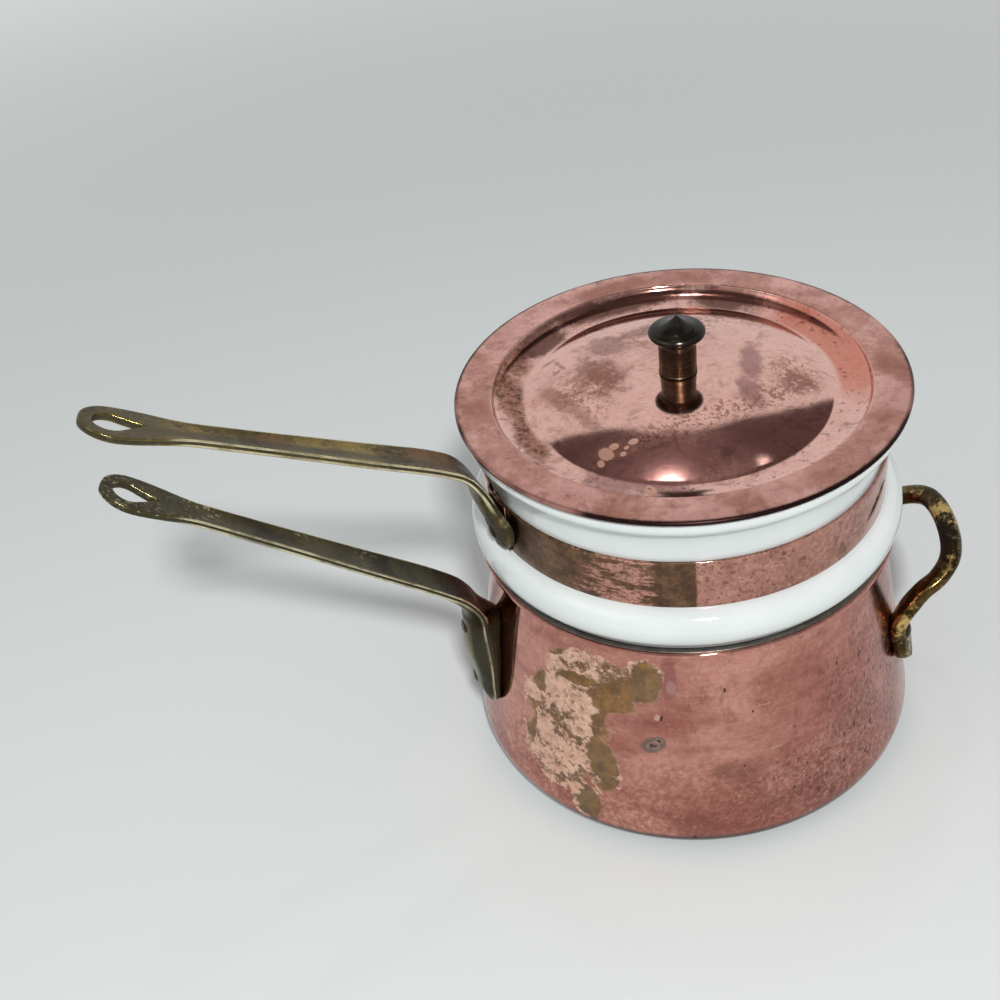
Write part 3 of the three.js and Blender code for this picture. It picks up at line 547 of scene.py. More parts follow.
core = pot_metal.ovals(flat, at_degrees([
    (-129, 68, 13, 8, 22), (-122.5, 77, 5.5, 8, 0), (-133, 56, 6, 8, 0), (-134.5, 36, 5, 12, 10),
    (-138, 16, 4.5, 6.5, 20), (-159, 41, 3, 8, 0), (-152, 80, 7, 3, 20), (-143, 71, 8, 2, 5),
    (-156, 62, 3, 5, 0),
]))
hold = pot_metal.less(flakes, pot_metal.levels(core, 0.6, 1.5, -0.02, 0.085))
kept = pot_metal.times(pot_metal.levels(hold, 0.45, 0.458), flaked)
off_edge = pot_metal.sum("ABSOLUTE", pot_metal.less(hold, 0.448))
scrap_edges = pot_metal.times(pot_metal.levels(off_edge, 0.02, 0.006), flaked)
print("with the lacquer's place", len(pot_metal.tree.nodes), "nodes")

# %% [markdown]
# The colours go on in the order in which they lie: the pale metal, the specks left behind on it,
# the brown scraps, which shift towards grey in clouds, and the dark line round each scrap.

# %% Old lacquer on the pot: its colours
bare = pot_metal.mix(pot_metal.levels(pot_metal.torn, 0.4, 0.62),
                     srgb(244, 204, 180), srgb(204, 154, 132))
pot_metal.stain(flaked, bare, 1.0)
left_behind = pot_metal.islands(420, 0.56, 0.61, 43)
pot_metal.stain_within(flaked, left_behind, srgb(116, 82, 60), 0.6)
brown_tone = pot_metal.mix(pot_metal.levels(pot_metal.border, 0.38, 0.6),
                           srgb(166, 124, 80), srgb(122, 94, 70))
brown_tone = pot_metal.mix(pot_metal.levels(pot_metal.cloud, 0.45, 0.6, 0, 0.5),
                           brown_tone, srgb(128, 116, 98))
pot_metal.stain(kept, brown_tone, 1.0)
pot_metal.stain(scrap_edges, srgb(86, 60, 42), 0.6)
print("with the lacquer's colours", len(pot_metal.tree.nodes), "nodes")

# %% [markdown]
# Last come the marks that anyone would point at: a small dent with a grey ring, a pale chip over
# it, a purple drip from the lip and a few nicks. Along the foot runs a dark line of painted shade.
# The dent and the lacquer are also felt by the finger, so they go into the relief.

# %% Dent, chip, drip and nicks of the pot
dent = pot_metal.ovals(flat, at_degrees([
    (-121.8, 50.3, 4.4, 3, 20), (-120.2, 52.4, 2.4, 1.8, 0),
]))
dent = pot_metal.plus(dent, pot_metal.times(pot_metal.less(pot_metal.lace, 0.5), 2.4))
pot_metal.stain(pot_metal.levels(dent, 1.25, 0.9), srgb(112, 100, 96), 0.8)
pot_metal.stain(pot_metal.levels(dent, 0.7, 0.45), srgb(206, 168, 152), 0.65)
pot_metal.stain(pot_metal.levels(dent, 0.5, 0.25), srgb(62, 48, 46), 0.85)
chip = pot_metal.blots(flat, at_degrees([(-120.6, 62.6, 1.1, 1.3, -20)]), 1.6, 0.4)
pot_metal.stain(chip, srgb(226, 184, 170), 0.7)
drip = pot_metal.blots(flat, at_degrees([(-117.4, 79, 3, 8, 0)]), 1.2, 0.3)
pot_metal.stain(drip, COPPER_PURPLE, 0.5)
drop = pot_metal.blots(flat, at_degrees([(-116.8, 76, 1.8, 3, 0)]), 1.2, 0.3)
pot_metal.stain(drop, srgb(190, 150, 140), 0.5)
nicks = pot_metal.blots(flat, at_degrees([
    (-119.5, 62.5, 0.5, 1.3, -15), (-85, 51, 0.45, 0.4, 0), (-70, 68, 0.5, 1.1, 0),
    (-96, 63, 0.4, 0.6, 0), (-99, 40, 0.45, 0.4, 0), (-103, 74, 0.5, 1, 0), (-112, 8, 0.7, 1.1, 0),
]), 1.5, 0.3)
pot_metal.stain(nicks, COPPER_DARK, 0.85)
# painted shade: a dark line along the bottom of the foot, torn by the noise
torn_height = pot_metal.plus(height, pot_metal.times(pot_metal.torn, 3 * MM))
pot_metal.stain(pot_metal.levels(torn_height, 11.5 * MM, 8 * MM), srgb(36, 25, 23), 0.95)

pot_metal.roughen(flaked, 0.24)
pot_metal.roughen(freckled, 0.1)
relief = pot_metal.plus(pot_metal.times(kept, 0.07), pot_metal.levels(dent, 1.0, 0.2, 0, -0.3))
POT_COPPER = pot_metal.dress(relief, 0.0004)
print(POT_COPPER.name, "has", len(pot_metal.tree.nodes), "nodes")

# %% [markdown]
# The band's left half wears a brown film, torn into strips by wiping, and it stops at a straight
# edge where a cloth was turned. The rest is pink with fine specks.

# %% Copper of the band
BAND_ROLL = 73 * MM
band_metal = Copper("copper_band", 9.0, srgb(196, 144, 130), srgb(150, 102, 90), 0.8, 0.6,
                    round_the_wall)
flat = band_metal.unrolled(BAND_ROLL, 0.0)
degrees = band_metal.times(band_metal.axes(flat)[0], 180 / math.pi / BAND_ROLL)
torn_degrees = band_metal.plus(degrees, band_metal.times(band_metal.lace, 2.0))
filmed = band_metal.times(band_metal.levels(torn_degrees, -107.9, -108.7),
                          band_metal.levels(degrees, -180, -178))
strips = band_metal.noise(1, 9, 0.78, where=band_metal.stretch(flat, (70, 330, 0)), seed=26)
solid = band_metal.ovals(flat, [
    (math.radians(-113) * BAND_ROLL / MM, 119, 7, 12, 0),
    (math.radians(-158) * BAND_ROLL / MM, 121, 20, 14, 0),
])
film = band_metal.plus(strips, band_metal.levels(solid, 1.8, 0.6, -0.02, 0.14))
film = band_metal.times(band_metal.levels(film, 0.485, 0.51), filmed)
film_tone = band_metal.mix(band_metal.levels(band_metal.border, 0.4, 0.6),
                           srgb(128, 96, 74), srgb(88, 68, 54))
band_metal.stain(filmed, srgb(204, 150, 134), 0.6)
band_metal.stain(film, film_tone, 1.0)
dark_islands = band_metal.islands(640, 0.54, 0.6, 44)
band_metal.stain_within(filmed, dark_islands, srgb(84, 60, 48), 0.6)
band_metal.stain(band_metal.islands(560, 0.55, 0.61, 45), srgb(104, 68, 58), 0.6)
band_metal.roughen(film, 0.2)
BAND_COPPER = band_metal.dress(band_metal.lace, 0.000006)
print(BAND_COPPER.name, "has", len(band_metal.tree.nodes), "nodes")

# %% [markdown]
# ## Brass, tin and porcelain
# The handles are cast brass that has gone olive, with the metal still bright where hands and
# hooks rub the arrises; that bright colour also stands in for the light along them, as a painted
# highlight. The makers of the handle pieces below store how near each point is to an arris, how
# near it is to the worn crest of the foot, and where grime lies and the side walls take painted
# shade. The finish reads all three, so the wear and the painted light follow the shape.

# %% Brass
WEARS = ("arris", "crest", "grimy")


class Brass(Metal):
    """Cast brass gone olive, light or deep, with bright spots from hammering."""

    def __init__(self, name, seed, light, deep, spotted):
        super().__init__(name)
        arris, crest, grimy = [self.node("ShaderNodeAttribute", attribute_name=label).outputs["Fac"]
                               for label in WEARS]
        cloud = self.noise(32, 6, 0.6, seed=seed, twist=0.5)
        border = self.noise(190, 9, 0.76, seed=seed + 1)
        lace = self.noise(620, 6, 0.78, seed=seed + 6)
        self.torn = self.plus(self.times(border, 0.55), self.times(lace, 0.45))
        self.colour = self.mix(self.levels(cloud, 0.38, 0.6), light, deep)
        self.colour = self.mix(self.levels(lace, 0.36, 0.62, 0, 0.55), self.colour, deep)

        # darker at the hanging end, stained in patches, spotted by the hammer
        eye_end = self.times(self.levels(self.axes()[0], -160 * MM, -184 * MM),
                             self.levels(self.torn, 0.36, 0.5, 0.5, 1))
        self.stain(eye_end, srgb(84, 74, 38), 0.75)
        patches = self.times(self.levels(self.torn, 0.47, 0.56), self.levels(cloud, 0.38, 0.56))
        self.stain(patches, srgb(58, 46, 30), 0.7)
        hammered = self.levels(self.noise(640, 2, 0.5, seed=seed + 7), 0.55, 0.63)
        hammered = self.times(hammered, self.levels(self.noise(26, 3, seed=seed + 2), 0.5, 0.6))
        self.stain(hammered, srgb(168, 158, 124), spotted)

        # what the shape says: grime and painted shade, the rubbed crest, worn arrises as painted
        # highlight
        grime = self.times(grimy, self.levels(self.torn, 0.34, 0.54, 0.6, 1))
        self.colour = self.mix(grime, self.colour, srgb(38, 34, 20))
        rubbed = self.times(crest, self.levels(self.torn, 0.38, 0.56, 0.3, 1))
        self.stain(rubbed, srgb(166, 164, 138), 0.8)
        # the arrises are bright from wear, and their colour is also a painted highlight
        wear_and_highlight = self.times(self.levels(arris, 0.15, 0.75),
                          self.levels(self.noise(80, 5, 0.65, seed=seed + 3), 0.36, 0.56, 0.35, 1))
        self.colour = self.mix(wear_and_highlight, self.colour, srgb(236, 226, 186))

        self.rough = self.levels(cloud, 0.3, 0.7, 0.18, 0.34)
        self.roughen(patches, 0.14)
        self.roughen(rubbed, 0.16)
        self.rough = self.less(self.rough, self.times(wear_and_highlight, 0.08))
        self.roughen(grime, 0.35)
        self.metal = self.less(1.0, self.times(grime, 0.8))
        dimples = self.times(self.noise(120, 4, 0.6, seed=seed + 5), 1.5)
        self.pits = self.plus(self.times(lace, 0.6), dimples)

    def dress(self):
        return self.finish(base_color=self.colour, metallic=self.metal, roughness=self.rough,
                           normal=self.bump(self.pits, 0.00008))


print("brass reads its wear from", WEARS)

# %% [markdown]
# The pot's handle is the darkest. The insert's handle is more golden and keeps brown patches at
# its root. The helper is nearly black, with golden patches of rubbed metal and painted highlight.

# %% Brass of the handles and the rivets
POT_BRASS = Brass("pot_handle_brass", 3, srgb(80, 70, 34), srgb(42, 37, 17), 0.8).dress()

insert_metal = Brass("insert_handle_brass", 43, srgb(152, 126, 62), srgb(88, 72, 31), 0.3)
above = insert_metal.seen_from_above()
root = insert_metal.blots(above, [
    (-92, -11, 9, 8, 0), (-143, -20, 5, 4, 0), (-124, -18, 2.4, 2, 0),
], 2.0, 0.12)
insert_metal.stain(root, srgb(116, 82, 48), 0.8)
streak = insert_metal.blots(above, [(-140, -22.2, 52, 2.5, 8)], 2.5, 0.5)
insert_metal.stain(streak, srgb(70, 58, 28), 0.85)
INSERT_BRASS = insert_metal.dress()

helper_metal = Brass("helper_brass", 63, srgb(108, 86, 48), srgb(42, 31, 18), 0.3)
# golden patches: rubbed metal, and painted highlights on the bar
rubbed_and_highlight = helper_metal.levels(helper_metal.noise(60, 6, 0.72, seed=74), 0.5, 0.56)
helper_metal.stain(rubbed_and_highlight, srgb(216, 184, 116), 0.8)
helper_metal.rough = helper_metal.less(helper_metal.rough, helper_metal.times(rubbed_and_highlight, 0.12))
HELPER_BRASS = helper_metal.dress()

RIVET_BRASS = Brass("rivet_brass", 83, srgb(84, 66, 46), srgb(54, 40, 30), 0.2).dress()
print("brass finishes:", [m.name for m in (POT_BRASS, INSERT_BRASS, HELPER_BRASS, RIVET_BRASS)])

# %% [markdown]
# The knob has gone nearly black, and its old turning lines show on the shaft where the light
# catches the metal under the tarnish. Light upright streaks on the shaft are painted highlights.
# Lines round it come from a noise that is squeezed in height, and the streaks from one that is
# squeezed along the circle.

# %% Dark brass of the knob
CAP_STARTS = LID_TOP + 15 * MM

recipe = Finish("dark_brass")
cloud = recipe.noise(80, 6, 0.6, seed=13)
round_it = recipe.stretch(recipe.place, (60, 60, 1500))
turned_lines = recipe.noise(1, 3, 0.6, where=round_it, seed=12)
upwards = recipe.stretch(recipe.unrolled(6.6 * MM), (420, 60, 0))
upright_highlights = recipe.noise(1, 4, 0.7, where=upwards, seed=14)
colour = recipe.mix(recipe.levels(cloud, 0.4, 0.65), srgb(60, 52, 42), srgb(37, 32, 27))
# painted highlights: light upright streaks down the shaft
colour = recipe.mix(recipe.levels(upright_highlights, 0.54, 0.68, 0, 0.5), colour, srgb(128, 114, 90))
colour = recipe.mix(recipe.levels(turned_lines, 0.52, 0.66, 0, 0.4), colour, srgb(116, 98, 74))
on_cap = recipe.levels(recipe.axes()[2], CAP_STARTS, CAP_STARTS + 3 * MM)
colour = recipe.mix(recipe.times(on_cap, 0.8), colour, srgb(52, 50, 45))
off_cap = recipe.levels(on_cap, 1, 0, 0, 0.16)
rough = recipe.plus(recipe.levels(cloud, 0.35, 0.7, 0.16, 0.3), off_cap)
KNOB_BRASS = recipe.finish(base_color=colour, metallic=1.0, roughness=rough,
                           normal=recipe.bump(turned_lines, 0.000008))
print(KNOB_BRASS.name, "has", len(recipe.tree.nodes), "nodes")

# %% [markdown]
# Tin is wiped on hot with a cloth, which leaves it grey, soft and streaky. On top of the pot's
# lip, under the porcelain's swelling, it is painted darker as shade. The porcelain's glaze is
# thick, white and glossy, with a slow waviness and a few pinholes.

# %% Tin and porcelain
recipe = Finish("tin")
cloud = recipe.noise(60, 6, 0.65, seed=23, where=recipe.stretch(recipe.place, (1, 1, 0.4)))
strokes = recipe.stretch(recipe.unrolled(70 * MM), (40, 700, 200))
wiped = recipe.noise(1, 4, 0.6, where=strokes, seed=22)
colour = recipe.mix(recipe.levels(cloud, 0.35, 0.7), srgb(172, 168, 162), srgb(112, 106, 100))
# painted shade on top of the pot's lip, under the porcelain's swelling
lip_top_shade = recipe.levels(recipe.axes()[2], POT_HEIGHT - 1 * MM, POT_HEIGHT)
colour = recipe.mix(recipe.times(lip_top_shade, 0.5), colour, srgb(84, 76, 70))
colour = recipe.mix(recipe.levels(wiped, 0.5, 0.7, 0, 0.4), colour, srgb(108, 102, 96))
TIN_WIPED = recipe.finish(base_color=colour, metallic=1.0,
                          roughness=recipe.levels(cloud, 0.3, 0.7, 0.22, 0.4),
                          normal=recipe.bump(recipe.noise(500, 4, seed=24), 0.00003))

recipe = Finish("porcelain")
tone = recipe.noise(22, 3, seed=33)
colour = recipe.mix(recipe.levels(tone, 0.35, 0.65), srgb(207, 213, 211), srgb(200, 206, 205))
cells = recipe.node("ShaderNodeTexVoronoi", {"Vector": recipe.place, "Scale": 95})
pinholes = recipe.times(recipe.levels(cells.outputs["Distance"], 0.03, 0.02), 0.5)
colour = recipe.mix(pinholes, colour, srgb(150, 146, 138))
PORCELAIN = recipe.finish(base_color=colour, roughness=0.07, ior=1.5, coat_weight=0.4,
                          coat_roughness=0.03,
                          normal=recipe.bump(recipe.noise(46, 2, seed=34), 0.00022))
print("other finishes:", [m.name for m in (TIN_WIPED, PORCELAIN)])

# %% [markdown]
# ## Turned pieces
# Pot, insert, lid, linings and knob were all turned or spun: one outline carried round an axis.
# In Blender the Spin tool or a Screw modifier would do that. A Geometry Nodes tree does it too,
# and keeps the rule in sight: a grid has one row of points for each point of the outline and
# one column for each step round, and each grid point takes its radius and height from the
# outline. A very small noise pushes the surface about, as no hammered or fired wall is perfect.


# %% The turning tree
def geometry_tree(name, sizes):
    """A Geometry Nodes tree that takes a mesh and named sizes, and gives a mesh."""
    group = bpy.data.node_groups.new(name, "GeometryNodeTree")
    for label, kind in {"Geometry": "Geometry", **sizes}.items():
        group.interface.new_socket(label, in_out="INPUT", socket_type="NodeSocket" + kind)
    group.interface.new_socket("Geometry", in_out="OUTPUT", socket_type="NodeSocketGeometry")
    return Tree(group)


def turning_tree():
    tree = geometry_tree("turn_an_outline",
                         {"Steps Round": "Int", "Unevenness": "Float", "Finish": "Material"})
    given = tree.node("NodeGroupInput").outputs
    outline = given["Geometry"]
    size = tree.node("GeometryNodeAttributeDomainSize", {"Geometry": outline})
    count = size.outputs["Point Count"]
    columns = tree.plus(given["Steps Round"], 1)
    grid = tree.node("GeometryNodeMeshGrid", {"Vertices X": columns, "Vertices Y": count})

    # which column and row a grid point is in, and the outline's point for that row
    index = tree.node("GeometryNodeInputIndex").outputs[0]
    column = tree.sum("FLOOR", tree.sum("DIVIDE", tree.plus(index, 0.5), count))
    row = tree.less(index, tree.times(column, count))
    position = tree.node("GeometryNodeInputPosition").outputs[0]
    sample = tree.node("GeometryNodeSampleIndex",
                       {"Geometry": outline, "Value": position, "Index": row},
                       data_type="FLOAT_VECTOR")
    part = tree.node("ShaderNodeSeparateXYZ", {0: sample.outputs["Value"]}).outputs

    # carried round the axis, and pushed in a little by the noise
    angle = tree.times(tree.sum("DIVIDE", column, given["Steps Round"]), 2 * math.pi)
    x = tree.times(part[0], tree.sum("COSINE", angle))
    y = tree.times(part[0], tree.sum("SINE", angle))
    even = tree.node("ShaderNodeCombineXYZ", {0: x, 1: y, 2: part[2]}).outputs[0]
    noise = tree.node("ShaderNodeTexNoise",
                      {"Vector": even, "Scale": 22.0, "Detail": 1.0, "W": 4.0},
                      noise_dimensions="4D").outputs["Fac"]
    shrink = tree.less(1, tree.times(noise, given["Unevenness"]))
    place = tree.node("ShaderNodeCombineXYZ",
                      {0: tree.times(x, shrink), 1: tree.times(y, shrink), 2: part[2]}).outputs[0]

    shape = tree.node("GeometryNodeSetPosition",
                      {"Geometry": grid.outputs["Mesh"], "Position": place}).outputs[0]
    for kind, values in (("MergeByDistance", {"Distance": 0.000001}),
                         ("SetShadeSmooth", {"Shade Smooth": True}),
                         ("RealizeInstances", {}),
                         ("SetMaterial", {"Material": given["Finish"]})):
        shape = tree.node("GeometryNode" + kind, {"Geometry": shape, **values}).outputs[0]
    tree.node("NodeGroupOutput", {0: shape})
    return tree.tree


TURNING = turning_tree()
print("turning tree:", len(TURNING.nodes), "nodes, inputs",
      [s.name for s in TURNING.interface.items_tree if s.in_out == "INPUT"])


# %% [markdown]
# An outline is written as a few corners, as on a workshop drawing, with how far each is rounded.
# Two helpers ease the corners and divide the long stretches, so that no face gets too long.

# %% Outlines with rounded corners
def rounded(corners, steps=5):
    """An outline through (radius, height, rounding) corners, each eased by its rounding."""
    points = []
    for i, (radius, height, easing) in enumerate(corners):
        here = Vector((radius, height))
        if easing == 0 or i in (0, len(corners) - 1):
            points.append(here)
            continue
        before = Vector(corners[i - 1][:2]) - here
        after = Vector(corners[i + 1][:2]) - here
        half = before.angle(after) / 2
        reach = min(easing / math.tan(half), before.length * 0.49, after.length * 0.49)
        start = here + before.normalized() * reach
        end = here + after.normalized() * reach
        inwards = (before.normalized() + after.normalized()).normalized()
        centre = here + inwards * (reach / math.cos(half))
        first = start - centre
        turned = first.angle_signed(end - centre)
        for k in range(steps + 1):
            points.append(centre + Matrix.Rotation(-turned * k / steps, 2) @ first)
    return points


def spread(points, longest):
    """The same outline with no step longer than a given length."""
    result = [points[0]]
    for a, b in zip(points, points[1:]):
        parts = max(1, math.ceil((b - a).length / longest))
        result += [a.lerp(b, k / parts) for k in range(1, parts + 1)]
    return result


square = rounded([(1, 0, 0), (1, 1, 0.5), (0, 1, 0)])
print("one rounded corner takes", len(square), "points, spread out", len(spread(square, 0.1)))


# %% [markdown]
# A modifier makes its mesh only when the scene is evaluated. The result is copied out of it, the
# modifier goes, and the faces are turned outwards. Spinning can turn a wall inside out, and a
# closed wall tells: its volume comes out negative.

# %% From a modifier to a plain mesh
def new_piece(name, mesh):
    """An object at the origin that shows a mesh."""
    piece = bpy.data.objects.new(name, mesh)
    bpy.context.scene.collection.objects.link(piece)
    return piece


def outwards(mesh):
    """Turns the faces of a closed mesh outwards, and prints whether it is closed."""
    work = bmesh.new()
    work.from_mesh(mesh)
    bmesh.ops.remove_doubles(work, verts=work.verts, dist=1e-7)
    bmesh.ops.dissolve_degenerate(work, edges=work.edges, dist=1e-7)
    bmesh.ops.recalc_face_normals(work, faces=work.faces)
    if work.calc_volume(signed=True) < 0:
        bmesh.ops.reverse_faces(work, faces=work.faces)
    open_edges = sum(1 for edge in work.edges if not edge.is_manifold)
    volume = work.calc_volume() * 1e6
    print(f"  {mesh.name}: {len(work.faces)} faces, {open_edges} open edges, {volume:.1f} cm3")
    work.to_mesh(mesh)
    work.free()


def shaped_by_tree(piece, tree, values):
    """Runs a tree on a piece, with values for the tree's named inputs, and keeps the mesh."""
    modifier = piece.modifiers.new(tree.name, "NODES")
    modifier.node_group = tree
    for socket in tree.interface.items_tree:
        if socket.in_out == "INPUT" and socket.name in values:
            modifier[socket.identifier] = values[socket.name]
    bpy.context.view_layer.update()
    evaluated = piece.evaluated_get(bpy.context.evaluated_depsgraph_get())
    mesh = bpy.data.meshes.new_from_object(evaluated)
    piece.modifiers.clear()
    piece.data = mesh
    outwards(mesh)
    return piece


def turn(name, outline, finish, steps=240, unevenness=0.0, longest=4 * MM):
    """Turns an outline of (radius, height) points into a closed mesh object."""
    points = spread(outline, longest)
    mesh = bpy.data.meshes.new(name)
    edges = [(i, i + 1) for i in range(len(points) - 1)]
    mesh.from_pydata([(p.x, 0, p.y) for p in points], edges, [])
    values = {"Steps Round": steps, "Unevenness": unevenness, "Finish": finish}
    return shaped_by_tree(new_piece(name, mesh), TURNING, values)


# %% [markdown]
# ## The pot
# Spun from 1.5 mm sheet: a flat bottom, a rounded foot, a wall that leans in, and a lip turned
# out flat for the insert to rest on. Inside and over the lip lies the tin.

# %% Pot and its lining
POT_CORNER = 10 * MM
lip_edge = POT_MOUTH + LIP_REACH
under_lip = POT_HEIGHT - LIP_THICKNESS


def wall(z, inset=0.0):
    return wall_radius(z) - inset / math.cos(WALL_TILT)


pot_outline = rounded([
    (0, 0, 0),
    (wall(0), 0, POT_CORNER),
    (wall(under_lip), under_lip, 1.6 * MM),
    (lip_edge, under_lip, 0.5 * MM),
    (lip_edge, POT_HEIGHT, 0.5 * MM),
    (wall(POT_HEIGHT, SHEET), POT_HEIGHT, 1.4 * MM),
    (wall(SHEET, SHEET), SHEET, POT_CORNER - SHEET),
    (0, SHEET, 0),
], 8)
pot = turn("pot", pot_outline, POT_COPPER, unevenness=0.0012)
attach(pot, "pot")
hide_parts("pot_body")

skin = SHEET + SKIN_GAP
tin_edge = lip_edge - 1.1 * MM
lining_outline = rounded([
    (0, skin, 0),
    (wall(skin, skin), skin, POT_CORNER - skin),
    (wall(POT_HEIGHT, skin), POT_HEIGHT + SKIN_GAP, 1.4 * MM),
    (tin_edge, POT_HEIGHT + SKIN_GAP, 0),
    (tin_edge, POT_HEIGHT + SKIN_GAP + TIN, 0.3 * MM),
    (wall(POT_HEIGHT, skin + TIN), POT_HEIGHT + SKIN_GAP + TIN, 1.8 * MM),
    (wall(skin + TIN, skin + TIN), skin + TIN, POT_CORNER - skin - TIN),
    (0, skin + TIN, 0),
], 8)
lining = turn("pot_lining", lining_outline, TIN_WIPED, unevenness=0.0012)
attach(lining, "pot")
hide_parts("pot_tin_lining")

# %% [markdown]
# ## The porcelain insert
# Thrown or cast in one piece. The swelling is half an ellipse that sits on the pot's lip, the
# neck above it is straight for the copper band, and a hollow curve runs up to the rim bead.


# %% Insert
def bow(centre, across, upward, start, end, steps):
    """Points on an ellipse, from one angle to another in degrees."""
    angles = [math.radians(start + (end - start) * i / steps) for i in range(steps + 1)]
    return [(centre[0] + across * math.cos(a), centre[1] + upward * math.sin(a), 0) for a in angles]


BOWL = 68.2 * MM
BOWL_FOOT = 65.5 * MM
BOWL_CORNER = 22 * MM
WALL = 4 * MM
BEAD = 3.2 * MM
bowl_floor = SEAT - 68 * MM
bulge_middle = SEAT + BULGE_HEIGHT / 2 + 0.6 * MM
bulge_half = BULGE_HEIGHT / 2 - 0.6 * MM
bead_centre = (NECK + 6.4 * MM - BEAD, RIM_TOP - BEAD)
insert_outline = rounded([
    (0, bowl_floor + 1.2 * MM, 0),
    (36.5 * MM, bowl_floor + 1.2 * MM, 2 * MM),
    (38 * MM, bowl_floor, 1 * MM),
    (BOWL_FOOT, bowl_floor, BOWL_CORNER),
    (BOWL, SEAT - 3.3 * MM, 3 * MM),
    (71.1 * MM, SEAT, 1 * MM),
    (74.8 * MM, SEAT, 0.8 * MM),
    *bow((NECK, bulge_middle), 7.4 * MM, bulge_half, -60, 78, 26),
    (NECK, BAND_BOTTOM, 0),
    (NECK, BAND_TOP, 3 * MM),
    (NECK + 0.85 * MM, BAND_TOP + 8.6 * MM, 30 * MM),
    (NECK + 2.8 * MM, BAND_TOP + 13.9 * MM, 5 * MM),
    *bow(bead_centre, BEAD, BEAD, -62, 90, 14),
    (NECK - 0.7 * MM, RIM_TOP, 1.2 * MM),
    (NECK - 2.1 * MM, RIM_TOP - 5 * MM, 6 * MM),
    (NECK - WALL, BAND_TOP, 8 * MM),
    (NECK - WALL, BAND_BOTTOM + WALL, 8 * MM),
    (NECK - WALL / 2, bulge_middle, 8 * MM),
    (BOWL - WALL, SEAT - WALL, 10 * MM),
    (BOWL_FOOT - WALL, bowl_floor + WALL, BOWL_CORNER - WALL),
    (0, bowl_floor + WALL, 0),
], 8)
insert = turn("insert", insert_outline, PORCELAIN, unevenness=0.0006)
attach(insert, "insert")
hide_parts("porcelain_insert")

# %% [markdown]
# ## The lid
# A flat brim with its edge rolled under, a hollow step down, and a dome. The tin on its
# underside follows it. The two outlines are one curve at two depths.

# %% Lid and its lining
DOME_RADIUS = 55.9 * MM
DOME_RISE = 7.9 * MM
RECESS = 4.2 * MM
RECESS_RADIUS = 66.7 * MM
LID_SHEET = 1.2 * MM
HEM = 0.85 * MM
TENON = 3 * MM
sphere = (DOME_RADIUS ** 2 + DOME_RISE ** 2) / (2 * DOME_RISE)
dome_edge = LID_TOP - RECESS


def dome_height(radius):
    return dome_edge + DOME_RISE - sphere + math.sqrt(sphere ** 2 - radius ** 2)


def lid_face(drop):
    """The lid's upper face from its centre hole out to the brim, lowered by a depth."""
    radii = [TENON + 0.3 * MM + (DOME_RADIUS - TENON - 0.3 * MM) * i / 24 for i in range(25)]
    dome = [(r, dome_height(r) - drop, 0) for r in radii]
    width = RECESS_RADIUS - DOME_RADIUS
    step = []
    for i in range(1, 15):
        share = i / 15
        rise = RECESS * (1 - math.sqrt(1 - (share * 0.98) ** 2))
        step.append((DOME_RADIUS + width * share + drop * 0.4, dome_edge + rise - drop, 0))
    edge = (RECESS_RADIUS + drop * 0.5, LID_TOP - drop, 0.9 * MM)
    return [*dome, *step, edge]


lid_outline = rounded([
    *lid_face(0),
    (72 * MM, LID_TOP, 0),
    *bow((LID_RADIUS - HEM, LID_TOP - HEM), HEM, HEM, 90, -90, 10),
    (LID_RADIUS - 2.2 * HEM, LID_TOP - 2 * HEM + 0.1 * MM, 0),
    (LID_RADIUS - 2.6 * HEM, LID_BASE, 0.2 * MM),
    *lid_face(LID_SHEET)[::-1],
    lid_face(0)[0],
], 6)
lid = turn("lid", lid_outline, LID_COPPER, steps=280)
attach(lid, "lid")
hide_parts("lid_shell")

skin = LID_SHEET + SKIN_GAP
tin_edge = LID_RADIUS - 2 * HEM - 1.1 * MM
lining_outline = rounded([
    *lid_face(skin),
    (tin_edge, LID_BASE - SKIN_GAP, 0),
    (tin_edge, LID_BASE - SKIN_GAP - TIN, 0),
    *lid_face(skin + TIN)[::-1],
    lid_face(skin)[0],
], 6)
lid_lining = turn("lid_lining", lining_outline, TIN_WIPED, steps=240)
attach(lid_lining, "lid")
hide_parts("lid_tin_lining")

# %% [markdown]
# ## The knob
# Turned from bar: a straight shaft, and over it a cap that flares like a bell, rolls over and is
# drawn up to a point. Its tenon goes through the lid and is hammered over a washer.

